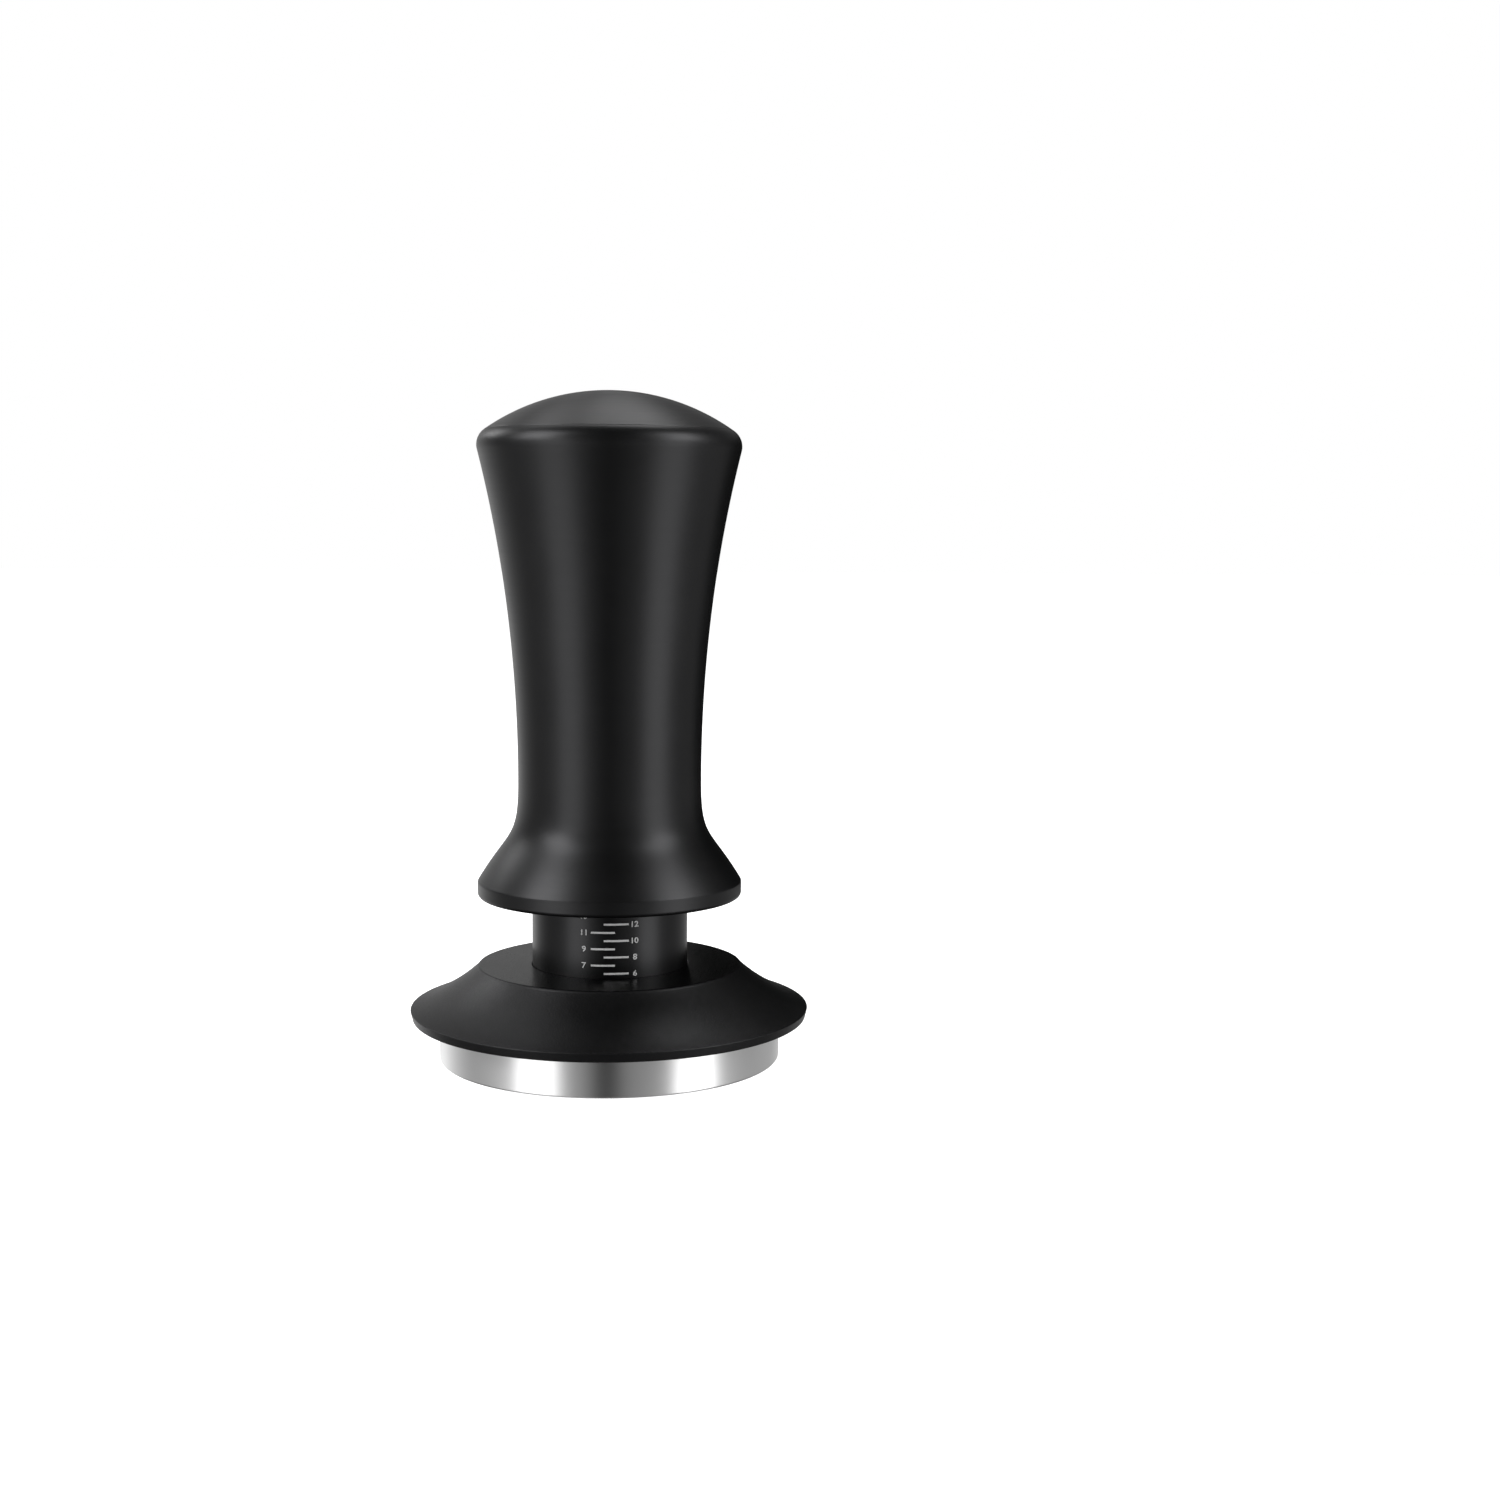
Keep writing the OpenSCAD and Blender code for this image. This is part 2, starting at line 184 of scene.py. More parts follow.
def spin_round(bm, steps):
    """Carry everything in the mesh once round the Z axis."""
    bmesh.ops.spin(bm, geom=bm.verts[:] + bm.edges[:], cent=(0, 0, 0), axis=(0, 0, 1),
                   angle=math.tau, steps=steps, use_merge=True)


def close_up(bm):
    """Merge what coincides, close any open end, and turn the faces outwards."""
    bmesh.ops.remove_doubles(bm, verts=bm.verts, dist=MM * 1e-4)
    bmesh.ops.dissolve_degenerate(bm, edges=bm.edges, dist=MM * 1e-5)
    bmesh.ops.holes_fill(bm, edges=[edge for edge in bm.edges if edge.is_boundary])
    bmesh.ops.recalc_face_normals(bm, faces=bm.faces)
    return bm


def lathe(outline, closed=False, steps=COARSE):
    """Spin an outline once about Z into a closed solid."""
    bm = draw_outline(outline, closed)
    spin_round(bm, steps)
    return close_up(bm)


def washer(inner, outer, low, high, rounding=0.15, steps=COARSE):
    """A flat ring with rounded edges."""
    return lathe([(inner, low, rounding), (outer, low, rounding), (outer, high, rounding),
                  (inner, high, rounding)], closed=True, steps=steps)


sample = washer(5, 8, 0, 2)
print("a plain washer has", len(sample.faces), "faces")
sample.free()

# %% [markdown]
# Some outlines are not straight. A cubic curve needs only its two ends and two points that pull
# it, and an arc needs its centre, its radius and two angles.

# %% Curves and arcs
def curve(start, leave, arrive, end, count):
    """Points of a cubic curve without its first point, none of them rounded."""
    points = []
    for i in range(1, count + 1):
        t = i / count
        s = 1 - t
        weights = (s ** 3, 3 * s * s * t, 3 * s * t * t, t ** 3)
        r, z = (sum(w * p[axis] for w, p in zip(weights, (start, leave, arrive, end)))
                for axis in (0, 1))
        points.append((r, z, 0))
    return points


def arc(centre, radius, first, last, count):
    """Points of an arc from one angle to another, in degrees from the radius direction."""
    angles = [math.radians(first + (last - first) * i / count) for i in range(count + 1)]
    return [(centre[0] + radius * math.cos(a), centre[1] + radius * math.sin(a), 0)
            for a in angles]


print("a quarter of a circle in two steps:", arc((0, 0), 1, 0, 90, 2))

# %% [markdown]
# ## Putting a piece on the frame
#
# A finished mesh becomes an object that rides on a CAD body, and the CAD node that it is made
# after is hidden. The faces are shaded smooth, and edges sharper than the limit stay crisp.

# %% Piece helper
SHARP = math.radians(40)


def add_piece(bm, name, node, material):
    """Make the object, put it on the body of its CAD node and hide that node."""
    piece = add_extra(bm, name, node, material)
    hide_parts(node)
    return piece


def add_extra(bm, name, node, material):
    """Make an object that rides with a CAD node but stands for nothing."""
    mesh = bpy.data.meshes.new(name)
    bm.to_mesh(mesh)
    bm.free()
    mesh.shade_smooth()
    mesh.set_sharp_from_angle(angle=SHARP)
    mesh.materials.append(material)
    piece = bpy.data.objects.new(name, mesh)
    bpy.context.collection.objects.link(piece)
    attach(piece, body_of[node])
    print(f"{name}: {len(mesh.vertices)} points, {len(mesh.polygons)} faces")
    return piece


print(f"edges sharper than {math.degrees(SHARP):.0f} degrees stay crisp")

# %% [markdown]
# ## Patterns that the finishes share
#
# Metal that was turned carries fine rings round its axis, and metal that was blasted carries a
# fine grain. Each of these patterns is a node group with named inputs, so that every material
# can use it with its own values. The groups only give numbers: the shader itself stays in the
# material.

# %% Node helpers
def new_group(name, inputs, outputs):
    """An empty shader group with number sockets."""
    tree = bpy.data.node_groups.new(name, "ShaderNodeTree")
    for label, value in inputs.items():
        socket = tree.interface.new_socket(name=label, in_out="INPUT",
                                           socket_type="NodeSocketFloat")
        socket.default_value = value
    for label in outputs:
        tree.interface.new_socket(name=label, in_out="OUTPUT", socket_type="NodeSocketFloat")
    return tree


def put(tree, kind, values=None, **settings):
    """Add a node, set its properties and its unlinked inputs."""
    made = tree.nodes.new(kind)
    for key, value in settings.items():
        setattr(made, key, value)
    for key, value in (values or {}).items():
        made.inputs[key].default_value = value
    return made


def maths(tree, operation, first, second):
    """A Math node. Each input is a number or a socket."""
    made = put(tree, "ShaderNodeMath", operation=operation)
    for slot, value in zip(made.inputs, (first, second)):
        if isinstance(value, (int, float)):
            slot.default_value = value
        else:
            tree.links.new(value, slot)
    return made.outputs[0]


print("node helpers: new_group, put, maths")

# %% [markdown]
# A lathe tool leaves rings, and no ring is quite like the next. Noise that runs fast along the
# radius and the height gives the rings. The way round the axis enters only slowly, so a ring
# drifts a little on its way round, as a real one does when the tool trembles.

# %% Turned rings
def make_turned_rings():
    """Rings round Z: noise that runs fast along radius and height, and slowly round the axis."""
    tree = new_group("Turned rings", {"Rings per mm": 8.0, "Wander": 1.5}, ["Rings"])
    take = put(tree, "NodeGroupInput")
    give = put(tree, "NodeGroupOutput")
    place = put(tree, "ShaderNodeTexCoord")
    flat = put(tree, "ShaderNodeVectorMath", {1: (1, 1, 0)}, operation="MULTIPLY")
    length = put(tree, "ShaderNodeVectorMath", operation="LENGTH")
    around = put(tree, "ShaderNodeVectorMath", operation="NORMALIZE")
    height = put(tree, "ShaderNodeSeparateXYZ")
    turn = put(tree, "ShaderNodeSeparateXYZ")
    tree.links.new(place.outputs["Object"], flat.inputs[0])
    tree.links.new(place.outputs["Object"], height.inputs[0])
    tree.links.new(flat.outputs[0], length.inputs[0])
    tree.links.new(flat.outputs[0], around.inputs[0])
    tree.links.new(around.outputs[0], turn.inputs[0])
    rate = maths(tree, "MULTIPLY", take.outputs["Rings per mm"], 1 / MM)
    wander = take.outputs["Wander"]
    spot = put(tree, "ShaderNodeCombineXYZ")
    tree.links.new(maths(tree, "MULTIPLY", length.outputs["Value"], rate), spot.inputs[0])
    tree.links.new(maths(tree, "MULTIPLY", height.outputs[2], rate), spot.inputs[1])
    tree.links.new(maths(tree, "MULTIPLY", turn.outputs[0], wander), spot.inputs[2])
    noise = put(tree, "ShaderNodeTexNoise", {"Scale": 1.0, "Detail": 2.0}, noise_dimensions="4D")
    tree.links.new(spot.outputs[0], noise.inputs["Vector"])
    tree.links.new(maths(tree, "MULTIPLY", turn.outputs[1], wander), noise.inputs["W"])
    tree.links.new(noise.outputs["Fac"], give.inputs["Rings"])
    return tree


turned_rings = make_turned_rings()
print("group:", turned_rings.name)

# %% [markdown]
# Blasted metal has a fine grain, and every piece that is handled has faint smudges that are far
# larger. Both are plain noise, so one function makes both groups. Low and High set where the
# noise starts and ends to show, which makes it softer or harder.

# %% Grain and smudges
def make_noise_group(name, detail, roughness):
    """Plain noise on Object coordinates, measured in grains per millimetre."""
    tree = new_group(name, {"Per mm": 5.0, "Low": 0.3, "High": 0.7}, ["Value"])
    take = put(tree, "NodeGroupInput")
    give = put(tree, "NodeGroupOutput")
    place = put(tree, "ShaderNodeTexCoord")
    noise = put(tree, "ShaderNodeTexNoise", {"Detail": detail, "Roughness": roughness})
    spread = put(tree, "ShaderNodeMapRange")
    tree.links.new(place.outputs["Object"], noise.inputs["Vector"])
    tree.links.new(maths(tree, "MULTIPLY", take.outputs["Per mm"], 1 / MM),
                   noise.inputs["Scale"])
    tree.links.new(noise.outputs["Fac"], spread.inputs["Value"])
    tree.links.new(take.outputs["Low"], spread.inputs["From Min"])
    tree.links.new(take.outputs["High"], spread.inputs["From Max"])
    tree.links.new(spread.outputs["Result"], give.inputs["Value"])
    return tree


fine_grain = make_noise_group("Fine grain", 3.0, 0.6)
smudges = make_noise_group("Smudges", 4.0, 0.55)
print("groups:", fine_grain.name, "and", smudges.name)

# %% [markdown]
# Edges lose their finish first. Cycles can tell how far a surface bulges at each point, and the
# group turns that into a mask. A little noise breaks the mask up, because nothing wears evenly.

# %% Edge wear
def make_edge_wear():
    """Mask of the outer edges, broken up by noise."""
    tree = new_group("Edge wear", {"Start": 0.52, "Full": 0.6, "Amount": 0.5}, ["Mask"])
    take = put(tree, "NodeGroupInput")
    give = put(tree, "NodeGroupOutput")
    place = put(tree, "ShaderNodeTexCoord")
    shape = put(tree, "ShaderNodeNewGeometry")
    bulge = put(tree, "ShaderNodeMapRange")
    noise = put(tree, "ShaderNodeTexNoise", {"Scale": 2 / MM, "Detail": 3.0})
    tree.links.new(shape.outputs["Pointiness"], bulge.inputs["Value"])
    tree.links.new(take.outputs["Start"], bulge.inputs["From Min"])
    tree.links.new(take.outputs["Full"], bulge.inputs["From Max"])
    tree.links.new(place.outputs["Object"], noise.inputs["Vector"])
    broken = maths(tree, "MULTIPLY", bulge.outputs["Result"], noise.outputs["Fac"])
    tree.links.new(maths(tree, "MULTIPLY", broken, take.outputs["Amount"]), give.inputs["Mask"])
    return tree


edge_wear = make_edge_wear()
print("group:", edge_wear.name)

# %% [markdown]
# ## The finishes
#
# Every finish starts from one recipe: a colour that drifts a little, a roughness that follows
# the machining and the smudges, and a shallow bump. The recipe takes the group that suits the
# way the surface was made. What is the same all over, such as how metallic a surface is, is set
# straight on the shader.

# %% Material helpers
def use_group(tree, group, **values):
    """Place a node group in a material with its own values."""
    made = put(tree, "ShaderNodeGroup", node_tree=group)
    for label, value in values.items():
        made.inputs[label.replace("_", " ")].default_value = value
    return made


def blend_colour(tree, first, second, factor):
    """Mix two colours by a number socket. The first may be a socket."""
    mix = put(tree, "ShaderNodeMix", data_type="RGBA")
    tree.links.new(factor, mix.inputs["Factor"])
    for slot, value in ((mix.inputs[6], first), (mix.inputs[7], second)):
        if isinstance(value, tuple):
            slot.default_value = (*value, 1)
        else:
            tree.links.new(value, slot)
    return mix.outputs[2]


def add_bump(tree, shader, height, depth):
    """Raise a height pattern by a depth in millimetres."""
    bump = put(tree, "ShaderNodeBump", {"Strength": 1.0, "Distance": depth * MM})
    tree.links.new(height, bump.inputs["Height"])
    tree.links.new(bump.outputs["Normal"], shader.inputs["Normal"])


print("material helpers: use_group, blend_colour, add_bump")

# %% [markdown]
# The recipe makes the colour drift where a hand has left smudges, and lets a lighter colour
# through where edges are worn. The roughness wavers by its spread around its middle value.

# %% Shared recipe
def surface(name, pattern, output, colour, drift, worn, roughness, spread, depth,
            smudge_rate=0.08, wear=0.3, **constants):
    """Principled material: the pattern drives colour drift, roughness and bump."""
    material = bpy.data.materials.new(name)
    material.use_nodes = True
    tree = material.node_tree
    shader = tree.nodes["Principled BSDF"]
    group, settings = pattern
    lines = use_group(tree, group, **settings)
    smudge = use_group(tree, smudges, Per_mm=smudge_rate, Low=0.35, High=0.7)
    worn_edge = use_group(tree, edge_wear, Amount=wear)
    tinted = blend_colour(tree, colour, drift, smudge.outputs["Value"])
    tree.links.new(blend_colour(tree, tinted, worn, worn_edge.outputs["Mask"]),
                   shader.inputs["Base Color"])
    rough = maths(tree, "MULTIPLY", lines.outputs[output], spread)
    rough = maths(tree, "ADD", rough, roughness - spread / 2)
    handled = maths(tree, "MULTIPLY", smudge.outputs["Value"], spread / 2)
    tree.links.new(maths(tree, "ADD", rough, handled), shader.inputs["Roughness"])
    add_bump(tree, shader, lines.outputs[output], depth)
    for label, value in constants.items():
        shader.inputs[label.replace("_", " ")].default_value = value
    return material


print("recipe:", surface.__doc__)

# %% [markdown]
# Fine rings scatter light across themselves far more than along themselves, so a highlight on
# turned metal is drawn out at right angles to the rings. Anisotropy does this. The tangent runs
# round the Z axis with the rings, and a quarter turn lays the long side of the gloss across them.

# %% Brushed gloss
def brush_round(material, amount):
    """Stretch the gloss across the rings, which run round the Z axis."""
    tree = material.node_tree
    shader = tree.nodes["Principled BSDF"]
    shader.inputs["Anisotropic"].default_value = amount
    shader.inputs["Anisotropic Rotation"].default_value = 0.25
    tangent = put(tree, "ShaderNodeTangent", direction_type="RADIAL", axis="Z")
    tree.links.new(tangent.outputs["Tangent"], shader.inputs["Tangent"])
    return material


print("gloss helper: brush_round")

# %% [markdown]
# Black anodising is a dyed, clear skin on aluminium. Light passes the dye twice and comes back
# from the metal below, so the finish behaves like a very dark mirror: fully metallic, with a
# colour of only a few per cent. The handle, the cap and the neck were turned, so faint rings
# run round them. The flange was blasted with glass beads, which leaves a fine grain and a wider
# gloss. Only the flat top of its collar was faced again afterwards, which leaves it smoother.
# The cap's colour is set a shade lighter than the handle's: partly for its extra brushing, and
# partly as a painted sheen for the overhead light that its dome faces.

# %% Anodised finishes
handle_black = brush_round(surface(
    "handle_anodised", (turned_rings, {"Rings_per_mm": 7.0, "Wander": 1.2}), "Rings",
    (0.034, 0.034, 0.035), (0.038, 0.038, 0.039), (0.075, 0.075, 0.077),
    roughness=0.37, spread=0.06, depth=0.0012, wear=0.15, Metallic=1.0), 0.05)
# The cap's lighter colour is partly a painted sheen for the overhead light on the dome.
cap_black_painted_sheen = brush_round(surface(
    "cap_anodised", (turned_rings, {"Rings_per_mm": 5.0, "Wander": 2.0}), "Rings",
    (0.066, 0.066, 0.067), (0.076, 0.076, 0.077), (0.11, 0.11, 0.112),
    roughness=0.42, spread=0.1, depth=0.003, wear=0.1, Metallic=1.0), 0.6)
neck_black = brush_round(surface(
    "neck_anodised", (turned_rings, {"Rings_per_mm": 9.0, "Wander": 1.0}), "Rings",
    (0.034, 0.034, 0.035), (0.038, 0.038, 0.039), (0.07, 0.07, 0.072),
    roughness=0.35, spread=0.05, depth=0.001, wear=0.1, Metallic=1.0), 0.2)
flange_black = surface(
    "flange_anodised", (fine_grain, {"Per_mm": 3.5, "Low": 0.3, "High": 0.7}), "Value",
    (0.03, 0.03, 0.031), (0.036, 0.036, 0.037), (0.07, 0.07, 0.072),
    roughness=0.4, spread=0.08, depth=0.01, wear=0.2, Metallic=1.0)


def smooth_above(material, height, share):
    """Scale the roughness down on everything above a height, as a last cut would."""
    tree = material.node_tree
    rough = tree.nodes["Principled BSDF"].inputs["Roughness"]
    before = rough.links[0].from_socket
    place = put(tree, "ShaderNodeTexCoord")
    parts = put(tree, "ShaderNodeSeparateXYZ")
    step = put(tree, "ShaderNodeMapRange", {"From Min": (height - 0.03) * MM,
                                            "From Max": height * MM, "To Min": 1.0,
                                            "To Max": share})
    tree.links.new(place.outputs["Object"], parts.inputs[0])
    tree.links.new(parts.outputs[2], step.inputs["Value"])
    tree.links.new(maths(tree, "MULTIPLY", before, step.outputs["Result"]), rough)


smooth_above(flange_black, collar_z - 0.02, 0.72)
print("anodised finishes: 4")

# %% [markdown]
# The base is stainless steel, turned and then brushed while it spins. Brushing makes the gloss
# long in one direction, so its reflections become upright bands on the wall and a bow tie on
# the flat face. The shaft is ground bright, and the spring is drawn wire.

# %% Steel finishes
base_steel = brush_round(surface(
    "base_steel", (turned_rings, {"Rings_per_mm": 10.0, "Wander": 2.5}), "Rings",
    (0.85, 0.85, 0.85), (0.81, 0.81, 0.81), (0.93, 0.93, 0.93),
    roughness=0.34, spread=0.05, depth=0.0005, wear=0.3, Metallic=1.0), 0.7)
shaft_steel = brush_round(surface(
    "shaft_steel", (turned_rings, {"Rings_per_mm": 14.0, "Wander": 3.0}), "Rings",
    (0.6, 0.6, 0.6), (0.5, 0.5, 0.5), (0.75, 0.75, 0.75),
    roughness=0.16, spread=0.08, depth=0.0006, wear=0.3, Metallic=1.0), 0.4)
screw_steel = brush_round(surface(
    "screw_steel", (turned_rings, {"Rings_per_mm": 6.0, "Wander": 2.0}), "Rings",
    (0.4, 0.4, 0.39), (0.33, 0.33, 0.32), (0.6, 0.6, 0.58),
    roughness=0.3, spread=0.12, depth=0.001, wear=0.4, Metallic=1.0), 0.3)
washer_zinc = surface(
    "washer_zinc", (fine_grain, {"Per_mm": 3.0, "Low": 0.35, "High": 0.65}), "Value",
    (0.52, 0.53, 0.55), (0.42, 0.44, 0.47), (0.65, 0.65, 0.66),
    roughness=0.34, spread=0.16, depth=0.002, wear=0.4, Metallic=1.0)
spring_wire = surface(
    "spring_wire", (fine_grain, {"Per_mm": 6.0, "Low": 0.3, "High": 0.7}), "Value",
    (0.34, 0.33, 0.32), (0.24, 0.23, 0.22), (0.5, 0.49, 0.48),
    roughness=0.3, spread=0.16, depth=0.002, wear=0.2, Metallic=1.0)
washer_bronze = surface(
    "washer_bronze", (fine_grain, {"Per_mm": 4.0, "Low": 0.4, "High": 0.6}), "Value",
    (0.52, 0.33, 0.14), (0.38, 0.24, 0.11), (0.7, 0.5, 0.26),
    roughness=0.42, spread=0.16, depth=0.004, wear=0.4, Metallic=1.0)
screw_black = surface(
    "screw_black", (fine_grain, {"Per_mm": 5.0, "Low": 0.3, "High": 0.7}), "Value",
    (0.018, 0.018, 0.019), (0.03, 0.03, 0.031), (0.2, 0.2, 0.2),
    roughness=0.42, spread=0.12, depth=0.003, wear=0.5, Metallic=0.6)
print("metal finishes: 7")

# %% [markdown]
# The bushes are acetal, a waxy bearing plastic that is cloudy rather than clear, and the rings
# are silicone rubber with a matte skin. The scale is burnt into the black skin by a laser,
# which leaves a dry, slightly uneven white.

# %% Plastic, rubber and laser white
bush_white = surface(
    "bush_acetal", (fine_grain, {"Per_mm": 2.0, "Low": 0.3, "High": 0.7}), "Value",
    (0.72, 0.7, 0.64), (0.66, 0.64, 0.57), (0.8, 0.79, 0.75),
    roughness=0.38, spread=0.12, depth=0.003, Subsurface_Weight=0.15, Subsurface_Scale=0.001)
guide_black = surface(
    "guide_acetal", (fine_grain, {"Per_mm": 2.5, "Low": 0.3, "High": 0.7}), "Value",
    (0.012, 0.012, 0.012), (0.02, 0.02, 0.02), (0.05, 0.05, 0.05),
    roughness=0.42, spread=0.1, depth=0.003)
seal_rubber = surface(
    "seal_rubber", (fine_grain, {"Per_mm": 8.0, "Low": 0.3, "High": 0.7}), "Value",
    (0.016, 0.016, 0.016), (0.03, 0.03, 0.029), (0.05, 0.05, 0.05),
    roughness=0.72, spread=0.16, depth=0.006)
scale_white = surface(
    "scale_white", (fine_grain, {"Per_mm": 14.0, "Low": 0.25, "High": 0.75}), "Value",
    (0.78, 0.78, 0.78), (0.68, 0.68, 0.68), (0.8, 0.8, 0.8),
    roughness=0.75, spread=0.2, depth=0.004, smudge_rate=1.2)
print("soft finishes: 4")

# %% [markdown]
# ## The tamping base
#
# The base is one steel disc. Its working face has shallow ripples, cut as rings with narrow
# lands between them. Each ripple is a short arc in the outline, so a loop draws them all. A
# smaller boss on top enters the flange, with a groove for the bumper ring and a hole for the
# stud.

# %% Base outline
RIPPLE_PITCH, RIPPLE_DEPTH, RIPPLE_LAND = 1.5, 0.33, 0.26
RIPPLE_DISC_R = 2.2
EDGE_BREAK = 0.3
BOSS_H, BOSS_STEP = 1.8, 0.9
BUMPER_INSET, BUMPER_CORD = 3.75, 1.6
STUD_R, STUD_IN_BASE = 3.0, 5.0

boss_r = base_r - BOSS_STEP
wall_top = base_top - BOSS_H
bumper_r = boss_r - BUMPER_INSET
half_groove = BUMPER_CORD / 2 + 0.1
groove_floor = base_top - BUMPER_CORD / 2


def ripples():
    """Outline of the working face, from the middle disc out to the edge."""
    half = (RIPPLE_PITCH - RIPPLE_LAND) / 2
    radius = (half * half + RIPPLE_DEPTH ** 2) / (2 * RIPPLE_DEPTH)
    reach = math.degrees(math.asin(half / radius))
    count = int((base_r - EDGE_BREAK - RIPPLE_DISC_R) / RIPPLE_PITCH)
    points = []
    for i in range(count):
        centre = (RIPPLE_DISC_R + (i + 0.5) * RIPPLE_PITCH, face_z + RIPPLE_DEPTH - radius)
        groove = arc(centre, radius, 90 + reach, 90 - reach, 8)
        first, last = groove[0], groove[-1]
        points += [(*first[:2], 0.05), *groove[1:-1], (*last[:2], 0.05)]
    return points


base_outline = [
    (0, face_z, 0), *ripples(),
    (base_r, face_z, EDGE_BREAK), (base_r, wall_top, 0.22), (boss_r, wall_top, 0),
    (boss_r, base_top, 0.3), (bumper_r + half_groove, base_top, 0.1),
    (bumper_r + half_groove, groove_floor, 0.2), (bumper_r - half_groove, groove_floor, 0.2),
    (bumper_r - half_groove, base_top, 0.1), (STUD_R, base_top, 0.3),
    (STUD_R, base_top - STUD_IN_BASE - 0.2, 0), (0, base_top - STUD_IN_BASE - 0.2, 0)]
add_piece(lathe(base_outline, steps=FINE), "tamping_disc", "tamping_base", base_steel)

# %% [markdown]
# ## Rings of round cord
#
# An O-ring is a circle spun round the axis: a torus. The bumper ring softens the stop of the
# leveller, and the smaller one seals the cap.

# %% O-rings
STAND_UP = Matrix.Rotation(math.pi / 2, 3, "X")


def cord_ring(node):
    """A torus that fills the box of a CAD ring."""
    outer, low, high = measure(node)
    cord = high - low
    bm = bmesh.new()
    bmesh.ops.create_circle(bm, segments=24, radius=cord / 2 * MM)
    bmesh.ops.rotate(bm, verts=bm.verts, matrix=STAND_UP)
    bmesh.ops.translate(bm, verts=bm.verts,
                        vec=Vector((outer - cord / 2, 0, (low + high) / 2)) * MM)
    spin_round(bm, 128)
    return close_up(bm)


add_piece(cord_ring("bumper_ring"), "bumper", "bumper_ring", seal_rubber)
add_piece(cord_ring("cap_oring"), "cap_seal", "cap_oring", seal_rubber)

# %% [markdown]
# ## Threads and key sockets
#
# A thread is a small ridge wound round a core. We start from one face, the ridge's section, and
# spin it several times with a rise on each step, so the sweep climbs like a real thread. The
# ridge is a closed strip that overlaps the core by a hair.

# %% Thread helper
THREAD_STEPS = 48


def add_thread(bm, core, crest, low, high, pitch):
    """Wind a ridge round a core between two heights."""
    turns = (high - low - pitch * 0.6) / pitch
    section = [(core - 0.03, 0), (crest, 0.22 * pitch), (crest, 0.36 * pitch),
               (core - 0.03, 0.58 * pitch)]
    corners = [bm.verts.new((r * MM, 0, (low + z) * MM)) for r, z in section]
    face = bm.faces.new(corners)
    steps = max(int(turns * THREAD_STEPS), 1)
    bmesh.ops.spin(bm, geom=[*corners, *face.edges, face], cent=(0, 0, 0), axis=(0, 0, 1),
                   dvec=(0, 0, pitch * turns / steps * MM), angle=turns * math.tau, steps=steps)


print("steps in one turn of a thread:", THREAD_STEPS)

# %% [markdown]
# A hexagon socket can't come from the lathe. The screw is spun with an open rim at its head,
# `bridge_loops` joins that round rim to a six-sided hole, and the hole's edge is then extruded
# down and closed.

# %% Socket helpers
def open_rim(bm, height):
    """Edges of the open loop at a height, in millimetres."""
    return [edge for edge in bm.edges if edge.is_boundary
            and all(abs(v.co.z - height * MM) < MM * 1e-3 for v in edge.verts)]


def add_socket(bm, height, radius, depth):
    """Close an open round rim at a height with a hexagon socket. A negative depth goes up."""
    rim = open_rim(bm, height)
    made = bmesh.ops.create_circle(bm, segments=6, radius=radius * MM,
                                   matrix=Matrix.Translation((0, 0, height * MM)))
    hexagon = list({edge for v in made["verts"] for edge in v.link_edges})
    bmesh.ops.bridge_loops(bm, edges=rim + hexagon)
    walls = bmesh.ops.extrude_edge_only(bm, edges=hexagon)
    floor = [v for v in walls["geom"] if isinstance(v, bmesh.types.BMVert)]
    bmesh.ops.translate(bm, verts=floor, vec=(0, 0, -depth * MM))
    return close_up(bm)


def spin_open(outline, steps=COARSE):
    """Spin an outline whose last point stays open for a socket."""
    bm = draw_outline(outline, closed=False)
    spin_round(bm, steps)
    bmesh.ops.remove_doubles(bm, verts=bm.verts, dist=MM * 1e-4)
    return bm


print("socket helpers: open_rim, add_socket, spin_open")

# %% [markdown]
# ## Stud and shaft
#
# A headless stud joins the base to the shaft. The shaft is ground, with a shoulder that carries
# the spring plate. Both ends are chamfered, so that seals and bushes slide on without damage.

# %% Stud
stud_r, stud_low, stud_high = measure("base_stud")
STUD_CORE, STUD_CHAMFER, STUD_PITCH = 2.55, 0.4, 1.0
STUD_KEY_R, STUD_KEY_DEPTH = 1.7, 2.5
stud_end_r = STUD_CORE - 0.3
stud = spin_open([(0, stud_high, 0), (stud_end_r, stud_high, 0),
                  (STUD_CORE, stud_high - STUD_CHAMFER, 0),
                  (STUD_CORE, stud_low + STUD_CHAMFER, 0), (stud_end_r, stud_low, 0)])
stud = add_socket(stud, stud_low, STUD_KEY_R, -STUD_KEY_DEPTH)
add_thread(stud, STUD_CORE, stud_r - 0.02, stud_low + 0.3, stud_high - 0.3, STUD_PITCH)
add_piece(close_up(stud), "set_screw", "base_stud", screw_steel)

# %% [markdown]
# The shaft is one outline with a tapped hole at each end. The holes are drawn as plain bores a
# little deeper than the screws that sit in them.

